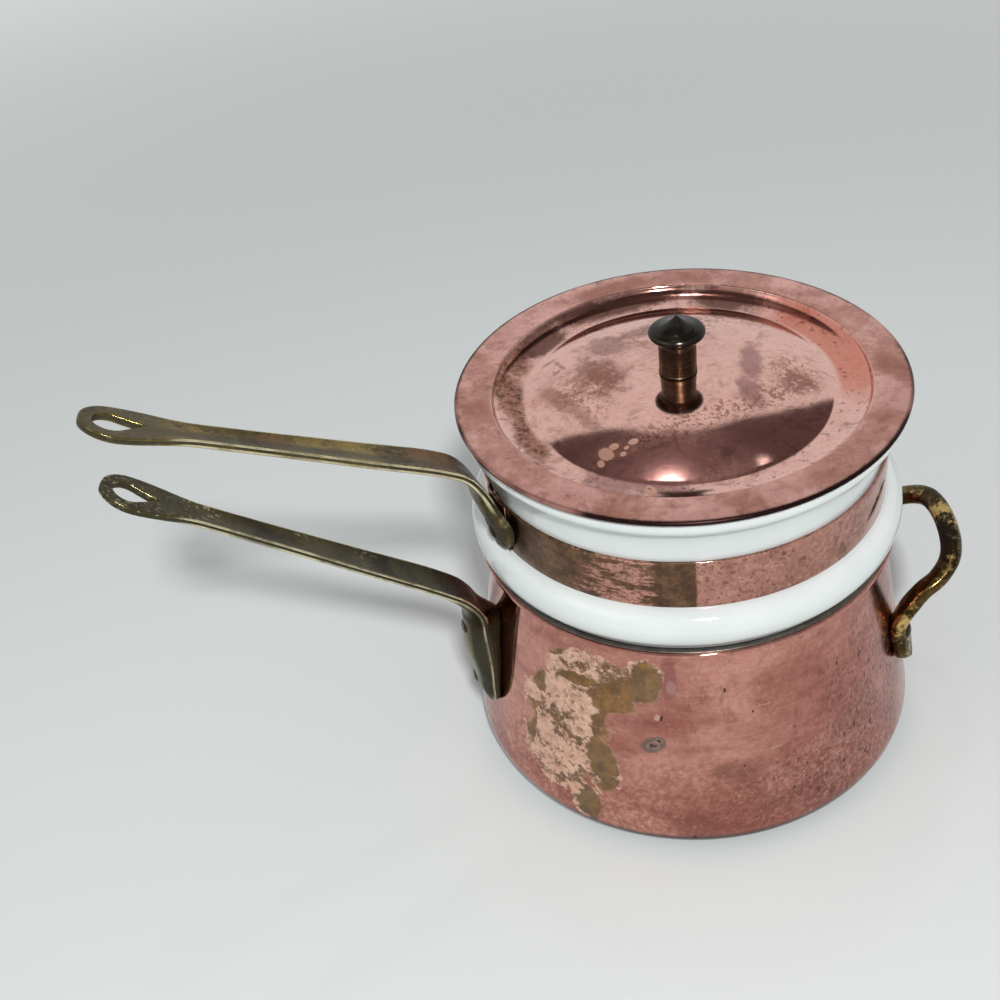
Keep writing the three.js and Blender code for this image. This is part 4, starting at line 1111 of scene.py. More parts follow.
# %% Knob and washer
SHAFT = 6.6 * MM
CAP = 9.9 * MM
WASHER = 7 * MM
knob_seat = dome_height(TENON + 0.3 * MM) + SKIN_GAP
washer_top = dome_height(WASHER) - LID_SHEET - TIN - SKIN_GAP - 2 * REST_GAP
washer_foot = washer_top - 1.2 * MM
shaft_top = knob_seat + 12.4 * MM
tip = knob_seat + 22.4 * MM
knob_outline = rounded([
    (0, washer_foot - 2 * MM, 0),
    (4 * MM, washer_foot - 1.6 * MM, 1.2 * MM),
    (4 * MM, washer_foot - SKIN_GAP, 0),
    (TENON, washer_foot - SKIN_GAP, 0),
    (TENON, knob_seat, 0),
    (SHAFT + 0.15 * MM, knob_seat, 0.3 * MM),
    (SHAFT + 0.15 * MM, knob_seat + 0.7 * MM, 0.2 * MM),
    (SHAFT - 0.05 * MM, knob_seat + 0.9 * MM, 0.2 * MM),
    (SHAFT, shaft_top - 0.7 * MM, 0.3 * MM),
    (SHAFT + 0.5 * MM, shaft_top - 0.2 * MM, 0.5 * MM),
    (SHAFT + 0.7 * MM, shaft_top + 0.7 * MM, 0.8 * MM),
    (CAP - 1.1 * MM, shaft_top + 1.7 * MM, 2 * MM),
    (CAP - 0.1 * MM, shaft_top + 2.8 * MM, 0.9 * MM),
    (CAP, shaft_top + 3.7 * MM, 0.9 * MM),
    (CAP - 0.7 * MM, shaft_top + 4.7 * MM, 1 * MM),
    (CAP * 0.62, shaft_top + 5.5 * MM, 4 * MM),
    (CAP * 0.36, shaft_top + 6.8 * MM, 5 * MM),
    (CAP * 0.14, tip - 1.3 * MM, 2 * MM),
    (0, tip, 0),
], 6)
knob = turn("knob", knob_outline, KNOB_BRASS, steps=96, longest=1 * MM)
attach(knob, "lid")
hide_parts("lid_knob")

washer = turn("washer", rounded([
    (TENON + 0.2 * MM, washer_foot, 0),
    (WASHER, washer_foot, 0.4 * MM),
    (WASHER, washer_top, 0.2 * MM),
    (TENON + 0.2 * MM, washer_top, 0),
    (TENON + 0.2 * MM, washer_foot, 0),
]), LID_COPPER, steps=64)
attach(washer, "lid")
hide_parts("knob_washer")

# %% [markdown]
# ## The copper band
# A strip of thin copper goes once round the neck and on over its own first end, where the
# handle's foot covers the lap. It could be a curve with a bevel, but a bevel would tilt along
# the step. So a section with slightly eased edges is carried round by hand, and it steps out
# where it reaches its own first end.


# %% Shapes carried along rings
def dressed(name, mesh, finish):
    """A smooth, closed mesh with its finish on, as an object."""
    mesh.materials.append(finish)
    mesh.shade_smooth()
    outwards(mesh)
    return new_piece(name, mesh)


def tube(name, rings, finish):
    """A closed tube through rings of points. Each ring has the same number of points."""
    size = len(rings[0])
    points = [point for ring in rings for point in ring]
    faces = []
    for r in range(len(rings) - 1):
        for i in range(size):
            a, b = r * size + i, r * size + (i + 1) % size
            faces.append((a, b, b + size, a + size))
    faces.append(tuple(range(size - 1, -1, -1)))
    faces.append(tuple(len(points) - size + i for i in range(size)))
    mesh = bpy.data.meshes.new(name)
    mesh.from_pydata(points, [], faces)
    return dressed(name, mesh, finish)


# %% [markdown]
# The two ends of the strip lie over each other by the lap. Just before it, the upper end steps
# out by the thickness of the sheet and a little more. Every ring of the tube is the same section,
# set at its angle and moved out by the step.

# %% Band
BAND_SHEET = 0.8 * MM
BAND_INNER = NECK + 0.3 * MM
BAND_LOW = BAND_BOTTOM + REST_GAP
BAND_HIGH = BAND_TOP - REST_GAP
BAND_STEPS = 360
LAP = 11 * MM
LAP_RISE = BAND_SHEET + 0.15 * MM      # how far the upper end of the strip stands out
STEP = 3 * MM
EASE = 0.2 * MM
INSERT_AZIMUTH = math.radians(188)


def smooth(value, low, high):
    """0 up to low, 1 from high on, and an even swing between them."""
    share = min(1.0, max(0.0, (value - low) / (high - low)))
    return share * share * (3 - 2 * share)


def band_section(inner):
    """The strip cut through, from its inner face round its eased outer edges."""
    outer = inner + BAND_SHEET
    low, high = BAND_LOW + EASE, BAND_HIGH - EASE
    return [(inner, BAND_HIGH), (inner, BAND_LOW), (outer - EASE, BAND_LOW),
            (outer - 0.3 * EASE, BAND_LOW + 0.3 * EASE),
            *((outer, low + (high - low) * k / 8) for k in range(9)),
            (outer - 0.3 * EASE, BAND_HIGH - 0.3 * EASE), (outer - EASE, BAND_HIGH)]


def band_ring(share):
    """The section's place at a share of the strip's length."""
    first = -LAP / 2 / BAND_INNER
    last = 2 * math.pi + LAP / 2 / BAND_INNER
    angle = first + (last - first) * share
    step_starts = 2 * math.pi + (LAP / 2 - LAP - 2 * STEP) / BAND_INNER
    lift = LAP_RISE * smooth(angle, step_starts, step_starts + STEP / BAND_INNER)
    turned = angle + INSERT_AZIMUTH
    return [(r * math.cos(turned), r * math.sin(turned), z)
            for r, z in band_section(BAND_INNER + lift)]


band_rings = [band_ring(i / BAND_STEPS) for i in range(BAND_STEPS + 1)]
band = tube("band", band_rings, BAND_COPPER)
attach(band, "insert")
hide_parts("copper_band")


# %% [markdown]
# ## The long handles
# Two castings from one pattern: a blade with square arrises and a slightly hollow face, a
# teardrop eye to hang it by, and a leaf-shaped foot that is thick in the middle and fits the
# wall. A box with modifiers could be bent to this, but its arrises would go soft at the eye and
# the foot. So the blade is drawn flat first, as distances along it and across it, and then every
# flat point is carried onto a bent path. The path comes first.


# %% A smooth path through points
PARTS = 40                 # of the path between two given points


def smooth_path(points):
    """Points on a curve that passes evenly through the given (distance, height) points."""
    ends = [2 * points[0] - points[1], *points, 2 * points[-1] - points[-2]]
    result = []
    for p0, p1, p2, p3 in zip(ends, ends[1:], ends[2:], ends[3:]):
        d0, d1, d2 = ((b - a).length ** 0.5 for a, b in ((p0, p1), (p1, p2), (p2, p3)))
        leave = ((p1 - p0) / d0 - (p2 - p0) / (d0 + d1) + (p2 - p1) / d1) * d1
        arrive = ((p2 - p1) / d1 - (p3 - p1) / (d1 + d2) + (p3 - p2) / d2) * d1
        for k in range(PARTS):
            t = k / PARTS
            result.append(
                p1 * (2 * t ** 3 - 3 * t ** 2 + 1) + leave * (t ** 3 - 2 * t ** 2 + t)
                + p2 * (3 * t ** 2 - 2 * t ** 3) + arrive * (t ** 3 - t ** 2)
            )
    return [*result, points[-1]]


class Path:
    """A path that gives its point and direction at a distance along it."""

    def __init__(self, points):
        self.points = smooth_path([Vector(p) for p in points])
        self.lengths = [0.0]
        for a, b in zip(self.points, self.points[1:]):
            self.lengths.append(self.lengths[-1] + (b - a).length)
        self.total = self.lengths[-1]

    def at(self, distance):
        distance = min(self.total, max(0.0, distance))
        i = next((k for k, far in enumerate(self.lengths) if far >= distance and k > 0), 1)
        share = (distance - self.lengths[i - 1]) / (self.lengths[i] - self.lengths[i - 1])
        low, high = max(0, i - 3), min(len(self.points) - 1, i + 2)
        along = (self.points[high] - self.points[low]).normalized()
        return self.points[i - 1].lerp(self.points[i], share), along


def between(stations, distance):
    """A smooth value between stations, each (distance, value)."""
    if distance <= stations[0][0]:
        return stations[0][1]
    for (a, low), (b, high) in zip(stations, stations[1:]):
        if distance < b:
            return low + (high - low) * smooth(distance, a, b)
    return stations[-1][1]


quarter = Path([(math.cos(math.pi * k / 8), math.sin(math.pi * k / 8)) for k in range(5)])
print("a quarter circle of radius 1 comes out", round(quarter.total, 3), "long")

# %% [markdown]
# The pattern holds everything that the two handles share. Only the path, the sizes of the foot
# and the wall that the foot fits differ. It answers three questions: how wide the handle is at a
# distance from its hanging end, how high its two faces lie there, and where that flat point goes
# on the bent path.

# %% The handle pattern
END_RADIUS = 9.7 * MM
WAIST = (36 * MM, 5.6 * MM)
ROOT_HALF = 7.6 * MM
EDGE = 2.1 * MM            # thickness along the arrises
CROWN = 1.5 * MM
HOLLOW = 0.5 * MM
ROUNDING = 0.4 * MM
JOIN = 25 * MM             # where the spokes round the eye end and the straight lanes start
NARROWEST_TIP = 0.6 * MM


def foot_swelling(crown, length, from_tip):
    return between([
        (0, crown * 0.25), (0.3 * length, crown * 0.66), (0.68 * length, crown),
        (length, crown * 0.85), (1.3 * length, crown * 0.45), (1.6 * length, CROWN),
    ], from_tip)


class Pattern:
    """Widths and heights of a handle at a flat point: s along it, u across it, v above it.

    foot is its half width, crown, pad and length. The crown swells out, and the pad swells back
    to the wall, whose radius wall_at(height, across) gives."""

    def __init__(self, path, foot, wall_at):
        self.path, self.total, self.wall_at = path, path.total, wall_at
        self.foot_half, self.crown, self.pad, self.foot_length = foot
        start = self.foot_start = self.total - self.foot_length
        self.backs = [(JOIN, -0.2 * HOLLOW), (45 * MM, -HOLLOW), (start - 20 * MM, -HOLLOW),
                      (start - 6 * MM, 0), (start + 4 * MM, self.pad),
                      (self.total - 0.4 * self.foot_length, 0.6 * self.pad), (self.total, 0)]
        self.plan = [(END_RADIUS, END_RADIUS), WAIST, (start - 8 * MM, ROOT_HALF),
                     (start + 6 * MM, ROOT_HALF),
                     (self.total - self.foot_half - 4 * MM, self.foot_half)]

    def half_width(self, s):
        round_end = max(0.0, END_RADIUS - s)
        round_tip = max(0.0, self.foot_half - (self.total - s))
        if round_end > 0:
            return math.sqrt(max(0.0, END_RADIUS ** 2 - round_end ** 2))
        if round_tip > 0:
            return math.sqrt(max(NARROWEST_TIP ** 2, self.foot_half ** 2 - round_tip ** 2))
        return between(self.plan, s)

    def faces_at(self, s, u, inward):
        """Heights of the two faces at a flat point; inward is its distance from the edge."""
        share = min(1.0, abs(u) / max(1e-6, self.half_width(s)))
        bowed = math.sqrt(max(0.0, 1 - share ** 2))
        flatness = between([(18 * MM, 0.4), (39 * MM, 1.0)], s)
        crown = foot_swelling(self.crown, self.foot_length, self.total - s)
        crown -= CROWN * (1 - flatness)
        in_rounding = max(0.0, ROUNDING - inward)
        ease = ROUNDING - math.sqrt(max(0.0, ROUNDING ** 2 - in_rounding ** 2))
        return between(self.backs, s) * (1 - share ** 2) - ease, -EDGE - crown * bowed + ease

    def carried(self, s, u, v):
        """The flat point on the bent path. The foot is kept off the wall."""
        at, along = self.path.at(s)
        radius, z = at + Vector((along.y, -along.x)) * v
        clear = self.wall_at(z, u)
        if clear and s > self.foot_start - 10 * MM:
            radius = max(radius, math.sqrt(max(0.0, clear ** 2 - u ** 2)))
        return Vector((radius, u, z))


print("blade widths in mm:", [round(2 * half / MM, 1) for half in (WAIST[1], ROOT_HALF)])

# %% [markdown]
# The casting collects the points and, for the brass finish, how each one is worn or shaded: near
# an arris, which also carries a painted highlight, on the crest of the foot, or in a grimy place,
# and on a side wall, which takes painted shade. A bridge joins two rows of points with faces.

# %% The casting and its wear
WEAR_WIDTH = 0.9 * MM
WALL_ROWS = (0.2, 0.8)     # rows of points between the faces, as shares of the thickness


def nearness(inward):
    """How near a point is to an arris: 1 on it, and 0 beyond the width that wears."""
    return max(0.0, 1 - inward / WEAR_WIDTH)


class Casting(Pattern):
    """The mesh of a handle under construction. foot_shine says how bright the foot's arris is."""

    def __init__(self, path, foot, foot_shine, wall_at):
        super().__init__(path, foot, wall_at)
        self.foot_shine = foot_shine
        self.points, self.faces = [], []
        self.wear = {label: [] for label in WEARS}

    def put(self, s, u, v, edge=0.0, ridge=0.0, painted_shade=0.0):
        """Adds a point. The arrises, bright from wear and painted highlight, are dull round the
        eye, the foot gathers grime off its crest, and the last value paints shade on the point.
        """
        at_eye = 1 - smooth(s, 22 * MM, 34 * MM)
        at_foot = smooth(s, self.foot_start - 2 * MM, self.foot_start + 8 * MM)
        bright = edge * (1 - 0.75 * at_eye) * (1 - (1 - self.foot_shine) * at_foot)
        grimy = max(painted_shade, 0.6 * at_eye, at_foot * (0.8 - ridge)) * (1 - edge)
        self.points.append(self.carried(s, u, v))
        self.wear["arris"].append(bright)
        self.wear["crest"].append(ridge)
        self.wear["grimy"].append(grimy)
        return len(self.points) - 1

    def put_side(self, s, u, top, bottom):
        """Points down a side wall, which is painted dark as shade between its two arrises."""
        return [self.put(s, u, top + (bottom - top) * share, painted_shade=0.9) for share in WALL_ROWS]

    def bridge(self, here, there):
        for row in zip(here, there, there[1:], here[1:]):
            self.faces.append(row)


print("half a wear width from an arris the nearness is", round(nearness(WEAR_WIDTH / 2), 2))

# %% [markdown]
# Round the eye the faces run like spokes from the teardrop hole to the outline. Where a spoke
# meets the outline is found by halving a distance forty times. The first spokes end on the join,
# one for each straight lane of the blade.

# %% The hanging end and its eye
EYE_RADIUS = 5 * MM
EYE_CENTRE = 4 * MM + EYE_RADIUS
EYE_POINT = 16 * MM - EYE_RADIUS
LANES = [math.sin(math.pi / 2 * (k / 8 - 1)) for k in range(17)]
STEPS_OUT = [0.0, 0.02, 0.06, 0.12, 0.24, 0.4, 0.6, 0.76, 0.88, 0.94, 0.98, 1.0]
END_SPOKES = 60


def eye_edge(angle):
    """Distance from the eye's centre to its teardrop edge."""
    straight_side = math.pi / 2 - math.asin(EYE_RADIUS / EYE_POINT)
    lean = abs((angle + math.pi) % (2 * math.pi) - math.pi)
    return EYE_RADIUS / math.cos(straight_side - lean) if lean < straight_side else EYE_RADIUS


def outline_point(pattern, angle):
    """Where a spoke from the eye's centre leaves the flat outline."""
    low, high = 0.0, 60 * MM
    for _ in range(40):
        middle = (low + high) / 2
        s, u = EYE_CENTRE + middle * math.cos(angle), middle * math.sin(angle)
        inside = 0 <= s <= JOIN and abs(u) <= pattern.half_width(max(0, s))
        low, high = (middle, high) if inside else (low, middle)
    return EYE_CENTRE + low * math.cos(angle), low * math.sin(angle)


def spoke_ends(pattern):
    join_half = pattern.half_width(JOIN)
    corner = math.atan2(join_half, JOIN - EYE_CENTRE)
    angles = [corner + (2 * math.pi - 2 * corner) * k / END_SPOKES for k in range(1, END_SPOKES)]
    return ([(JOIN, lane * join_half) for lane in LANES]
            + [outline_point(pattern, angle) for angle in angles])


def add_spoke(cast, end_s, end_u):
    """Points from the eye out to the spoke's end: upper and lower face, hole wall, outer wall."""
    angle = math.atan2(end_u, end_s - EYE_CENTRE)
    near = eye_edge(angle)
    far = math.hypot(end_s - EYE_CENTRE, end_u)
    on_join = end_s >= JOIN - 1e-9
    upper, lower, walls = [], [], []
    for step in STEPS_OUT:
        reach = near + (far - near) * step
        s, u = EYE_CENTRE + reach * math.cos(angle), reach * math.sin(angle)
        to_outline = max(0.0, cast.half_width(s) - abs(u)) if on_join else far - reach
        inward = min(reach - near, to_outline)
        top, bottom = cast.faces_at(s, u, inward)
        upper.append(cast.put(s, u, top, nearness(inward)))
        lower.append(cast.put(s, u, bottom, nearness(math.hypot(inward, bottom + EDGE))))
        if step in (0, 1):
            walls.append(cast.put_side(s, u, top, bottom))
    return upper, lower, *walls


def add_hanging_end(cast):
    """Faces between the eye and the outline. Gives the rows of points at the join."""
    spokes = [add_spoke(cast, *end) for end in spoke_ends(cast)]
    last_lane = len(LANES) - 1
    for k, (upper, lower, hole, wall) in enumerate(spokes):
        next_upper, next_lower, next_hole, next_wall = spokes[(k + 1) % len(spokes)]
        cast.bridge(upper, next_upper)
        cast.bridge(lower, next_lower)
        cast.bridge([upper[0], *hole, lower[0]], [next_upper[0], *next_hole, next_lower[0]])
        if k >= last_lane:
            cast.bridge([upper[-1], *wall, lower[-1]], [next_upper[-1], *next_wall, next_lower[-1]])
    at_join = spokes[:len(LANES)]
    return ([upper[-1] for upper, *_ in at_join], [lower[-1] for _, lower, *_ in at_join],
            [at_join[0][-1], at_join[-1][-1]])


print("a handle's end has", len(LANES) + END_SPOKES - 1, "spokes of", len(STEPS_OUT), "points")

# %% [markdown]
# Beyond the join the faces run in straight lanes to the tip of the foot. The rows get closer
# towards the tip, where the foot rounds off. The last row is closed with a few faces.

# %% The blade and the foot
BLADE_ROWS = 170
ROWS_CROWD = 0.92          # below 1 the rows spread towards the tip again
CREST_HALF = 0.68          # of the foot's half width


def add_blade(cast, up_row, low_row, sides):
    for k in range(1, BLADE_ROWS + 1):
        s = JOIN + (cast.total - JOIN) * math.sin(math.pi / 2 * k / BLADE_ROWS) ** ROWS_CROWD
        half = cast.half_width(s)
        back_shows = 1 - smooth(s, cast.foot_start - 6 * MM, cast.foot_start + 4 * MM)
        front_rubbed = smooth(s, cast.foot_start - 4 * MM, cast.foot_start + 10 * MM)
        next_up, next_low, next_sides = [], [], []
        for lane in LANES:
            u = lane * half
            inward = min(half * (1 - abs(lane)), (cast.total - s) + 0.2 * MM)
            top, bottom = cast.faces_at(s, u, inward)
            next_up.append(cast.put(s, u, top, nearness(inward) * back_shows))
            on_crest = cast.pad and abs(lane) < CREST_HALF
            ridge = (1 - (lane / CREST_HALF) ** 4) * front_rubbed if on_crest else 0.0
            near = nearness(math.hypot(inward, bottom + EDGE))
            next_low.append(cast.put(s, u, bottom, near, ridge))
            if lane in (LANES[0], LANES[-1]):
                next_sides.append(cast.put_side(s, u, top, bottom))
        cast.bridge(up_row, next_up)
        cast.bridge(low_row, next_low)
        cast.bridge([up_row[0], *sides[0], low_row[0]], [next_up[0], *next_sides[0], next_low[0]])
        cast.bridge([next_up[-1], *next_sides[1], next_low[-1]],
                    [up_row[-1], *sides[1], low_row[-1]])
        up_row, low_row, sides = next_up, next_low, next_sides
    cast.bridge(up_row[1:-1], low_row[1:-1])
    cast.faces.append((up_row[0], *sides[0], low_row[0], low_row[1], up_row[1]))
    cast.faces.append((up_row[-2], low_row[-2], low_row[-1], *sides[1][::-1], up_row[-1]))


def long_handle(name, casting, azimuth, finish):
    """Casts the whole handle and turns it to its side of the pot."""
    add_blade(casting, *add_hanging_end(casting))
    mesh = bpy.data.meshes.new(name)
    mesh.from_pydata(casting.points, [], casting.faces)
    mesh.transform(Matrix.Rotation(azimuth, 4, "Z"))
    for label, values in casting.wear.items():
        mesh.attributes.new(label, "FLOAT", "POINT").data.foreach_set("value", values)
    return dressed(name, mesh, finish)


print("a blade has", BLADE_ROWS, "rows of", len(LANES), "lanes on each face")

# %% [markdown]
# Both blades rise straight from their bend. The pot's handle then follows the leaning wall down,
# and its foot's thin edges come to the wall at the tip. The insert's handle comes in over the
# band's upper edge and runs down the band.

# %% Where the two blades run
# [below the pot's top, out from its wall]
POT_FOOT_EDGE = [(17 * MM, 7.4 * MM), (27.5 * MM, 5 * MM), (40 * MM, 2.7 * MM), (53 * MM, 1.2 * MM),
                 (64.5 * MM, -1 * MM)]
POT_HANDLE_FOOT = (10.6 * MM, 6.9 * MM, 8 * MM, 44 * MM)
INSERT_HANDLE_FOOT = (11 * MM, 3.4 * MM, 0, 24 * MM)
RIVET_DROP = 12.2 * MM


def blade_points(bend, length, rise):
    """Points of the straight blade, from its hanging end in to the bend."""
    return [(bend[0] + length * share * math.cos(rise), bend[1] + length * share * math.sin(rise))
            for share in (1, 0.75, 0.5, 0.25, 0)]


def on_wall(drop, out):
    return wall_radius(POT_HEIGHT - drop) + out, POT_HEIGHT - drop


pot_bend = (POT_MOUTH + 23.6 * MM, POT_HEIGHT)
pot_path = Path([
    *blade_points(pot_bend, 128.6 * MM, math.radians(38)),
    (pot_bend[0] - 9 * MM, pot_bend[1] - 8.5 * MM),
    *(on_wall(drop, out) for drop, out in POT_FOOT_EDGE),
])
insert_bend = (LID_RADIUS + 12 * MM, RIM_TOP + 4.1 * MM)
insert_path = Path([
    *blade_points(insert_bend, 119.8 * MM, math.radians(29.6)),
    (insert_bend[0] - 7.4 * MM, insert_bend[1] - 5.8 * MM),
    (insert_bend[0] - 12.2 * MM, insert_bend[1] - 13.9 * MM),
    (BAND_RADIUS + 3.1 * MM, BAND_TOP + 1.6 * MM),
    (BAND_RADIUS + 0.4 * MM, BAND_TOP - 5.9 * MM),
    (BAND_RADIUS, BAND_TOP - RIVET_DROP),
    (BAND_RADIUS, BAND_BOTTOM + 0.6 * MM),
])
print("blade lengths in mm:", round(pot_path.total / MM, 1), round(insert_path.total / MM, 1))

# %% [markdown]
# A foot must not sink into what it is riveted to. The pot's foot fits the leaning wall, and the
# insert's foot fits the band, which stands further out over the lap. Each wall is a small
# function, and the casting asks it how far out to stay.

# %% The two handles
POT_AZIMUTH = math.pi
FIT = 0.1 * MM


def pot_wall(z, _):
    return wall_radius(z) + FIT if z < POT_HEIGHT - LIP_THICKNESS else None


def band_wall(z, across):
    """Outside of the band, which stands further out over the lap."""
    if z > BAND_TOP + 1 * MM:
        return None
    over_lap = 1 - smooth(abs(across), LAP / 2, LAP / 2 + STEP)
    return BAND_RADIUS + FIT + LAP_RISE * over_lap


pot_handle = long_handle("pot_long_handle", Casting(pot_path, POT_HANDLE_FOOT, 1.0, pot_wall),
                         POT_AZIMUTH, POT_BRASS)
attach(pot_handle, "pot")
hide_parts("pot_handle")

insert_handle = long_handle("insert_long_handle",
                            Casting(insert_path, INSERT_HANDLE_FOOT, 0.25, band_wall),
                            INSERT_AZIMUTH, INSERT_BRASS)
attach(insert_handle, "insert")
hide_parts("insert_handle")

# %% [markdown]
# ## The helper handle
# A cast bow for the other hand. From each foot the bar climbs the wall, swings out and meets
# itself in the middle. Its section is an oval that turns from lying flat on the wall to lying
# flat in the plane of the bow, so each ring is placed by its own facing.

# %% The bow's path
HELPER_AZIMUTH = math.radians(-18)
HELPER_SPAN = 28 * MM
HELPER_REACH = 28 * MM
HELPER_TILT = math.radians(34)
HELPER_FOOT = (6.5 * MM, 3.3 * MM)      # half width and half depth
FOOT_LENGTH = 24 * MM
root_height = POT_HEIGHT - 31.5 * MM
foot_out = HELPER_FOOT[1] - 0.6 * MM
foot_radius = wall_radius(root_height) + foot_out
foot_angle = math.asin(HELPER_SPAN / foot_radius)
root_radius = foot_radius * math.cos(foot_angle)
outwards_up = Vector((math.cos(HELPER_TILT), 0, math.sin(HELPER_TILT)))


def fuller(value, power):
    """A sine or cosine that swells out, which squares a circle a little."""
    return math.copysign(abs(value) ** power, value)


def foot_point(z, side):
    radius = wall_radius(z) + foot_out
    return Vector((radius * math.cos(foot_angle), side * radius * math.sin(foot_angle), z))


def bow_point(degrees):
    sine, cosine = math.sin(math.radians(degrees)), math.cos(math.radians(degrees))
    middle = Vector((root_radius, HELPER_SPAN * fuller(cosine, 0.7), root_height))
    return middle + outwards_up * HELPER_REACH * sine ** 0.7


tip_height = root_height - FOOT_LENGTH
climb = [tip_height, tip_height + 8 * MM, tip_height + 16 * MM]
helper_path = Path([*(foot_point(z, 1) for z in climb),
                    *(bow_point(angle) for angle in (14, 32, 58, 90, 122, 148, 166)),
                    *(foot_point(z, -1) for z in climb[::-1])])
print("the bow's bar is", round(helper_path.total / MM, 1), "mm long")

# %% [markdown]
# The rings stand closer at the two tips, where the foot rounds off. A ring that would sink into
# the wall is pushed out to it.

# %% Helper handle
BAR = (3.9 * MM, 2.75 * MM)             # half width and half depth
HELPER_STEPS = 180
RING_POINTS = 24
under = Vector((math.sin(HELPER_TILT), 0, -math.cos(HELPER_TILT)))


def section_at(share, along):
    """Which way the section faces at a share of the path, and its half width and half depth."""
    from_tip = helper_path.total * min(share, 1 - share)
    side = math.copysign(foot_angle, 0.5 - share)
    bend = smooth(from_tip, FOOT_LENGTH - 8 * MM, FOOT_LENGTH + 10 * MM)
    facing = Vector((math.cos(side), math.sin(side), 0)).lerp(under, bend)
    facing = (facing - along * facing.dot(along)).normalized()
    tip_share = 1 - min(1.0, from_tip / HELPER_FOOT[0])
    round_tip = math.sqrt(max(0.03, 1 - tip_share ** 2))
    wide = (HELPER_FOOT[0] + (BAR[0] - HELPER_FOOT[0]) * bend) * round_tip
    deep = HELPER_FOOT[1] + (BAR[1] - HELPER_FOOT[1]) * bend
    return facing, wide, deep


def helper_ring(step):
    swing = math.cos(math.pi * step / HELPER_STEPS)
    share = 0.5 - 0.5 * swing * (0.72 + 0.28 * abs(swing))
    at, along = helper_path.at(helper_path.total * share)
    facing, wide, deep = section_at(share, along)
    across = along.cross(facing)
    ring = []
    for k in range(RING_POINTS):
        angle = 2 * math.pi * k / RING_POINTS
        point = at + across * wide * fuller(math.cos(angle), 0.75)
        point += facing * deep * fuller(math.sin(angle), 0.75)
        clear = wall_radius(point.z) + FIT
        if point.xy.length < clear:
            point.xy = point.xy.normalized() * clear
        ring.append(Matrix.Rotation(HELPER_AZIMUTH, 3, "Z") @ point)
    return ring


helper_rings = [helper_ring(step) for step in range(HELPER_STEPS + 1)]
helper = tube("helper", helper_rings, HELPER_BRASS)
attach(helper, "pot")
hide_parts("helper_handle")

# %% [markdown]
# ## Rivets
# Five brass rivets hold the handles. Each has a hammered head outside and a flat tail inside.
# They repeat, so a second tree puts one turned button on each given point, along that point's
# direction and with a slightly different size for each, as a hammer would leave them.


# %% The rivet tree
def rivet_tree():
    tree = geometry_tree("set_rivets", {"Button": "Object", "Size Spread": "Float", "Seed": "Int",
                                        "Finish": "Material"})
    given = tree.node("NodeGroupInput").outputs
    button = tree.node("GeometryNodeObjectInfo", {"Object": given["Button"]})
    way = tree.node("GeometryNodeInputNamedAttribute", {"Name": "way"}, data_type="FLOAT_VECTOR")
    point_along = tree.node("FunctionNodeAlignRotationToVector",
                            {"Vector": way.outputs["Attribute"]}, axis="Z")
    smallest = tree.less(1, given["Size Spread"])
    size = tree.node("FunctionNodeRandomValue", {2: smallest, 3: 1, "Seed": given["Seed"]},
                     data_type="FLOAT")
    put = tree.node("GeometryNodeInstanceOnPoints", {
        "Points": given["Geometry"], "Instance": button.outputs["Geometry"],
        "Rotation": point_along.outputs["Rotation"], "Scale": size.outputs[1]})
    real = tree.node("GeometryNodeRealizeInstances", {0: put.outputs[0]})
    dress = tree.node("GeometryNodeSetMaterial",
                      {"Geometry": real.outputs[0], "Material": given["Finish"]})
    tree.node("NodeGroupOutput", {0: dress.outputs[0]})
    return tree.tree


RIVETING = rivet_tree()
print("rivet tree:", len(RIVETING.nodes), "nodes")

# %% [markdown]
# A head is a low dome and a tail is a flat button. Both are turned by the same helper as the pot.
# They are only patterns, so they leave the scene once the rivets stand.

# %% The patterns of head and tail
HEAD = 3.3 * MM


def button(name, outline):
    """A turned button at the origin, used as the pattern for rivets."""
    return turn(name, rounded(outline, 6), RIVET_BRASS, steps=40, longest=0.5 * MM)


head_button = button("rivet_head", [
    (0, -0.6 * MM, 0), (HEAD, -0.6 * MM, 0.2 * MM), (HEAD, 0.35 * MM, 0.4 * MM),
    (HEAD * 0.62, 1.15 * MM, 1.6 * MM), (0, 1.4 * MM, 0),
])
tail_button = button("rivet_tail", [
    (0, -0.3 * MM, 0), (3.6 * MM, -0.3 * MM, 0.1 * MM), (3.4 * MM, 1.1 * MM, 0.3 * MM),
    (0, 1.1 * MM, 0),
])


def set_rivets(name, pattern, places):
    """Puts the pattern on every (point, direction) place."""
    mesh = bpy.data.meshes.new(name)
    mesh.from_pydata([point for point, way in places], [], [])
    ways = mesh.attributes.new("way", "FLOAT_VECTOR", "POINT")
    ways.data.foreach_set("vector", [value for point, way in places for value in way])
    values = {"Button": pattern, "Size Spread": 0.06, "Seed": 7, "Finish": RIVET_BRASS}
    return shaped_by_tree(new_piece(name, mesh), RIVETING, values)


# %% [markdown]
# A head sits a little sunk in its foot's crown, so how thick the foot is there decides how far
# out it goes. The tails lie inside the tin, along the same directions turned round. The band's
# rivet ends in the porcelain's groove, where nothing shows.

# %% Heads outside, tails inside
SINK = 0.7 * MM


def wall_place(height, azimuth, out):
    """A point out from the pot's wall, and the wall's own direction there."""
    way = Vector((math.cos(WALL_TILT), 0, math.sin(WALL_TILT)))
    point = Vector((wall_radius(height), 0, height)) + way * out
    turned = Matrix.Rotation(azimuth, 3, "Z")
    return turned @ point, turned @ way


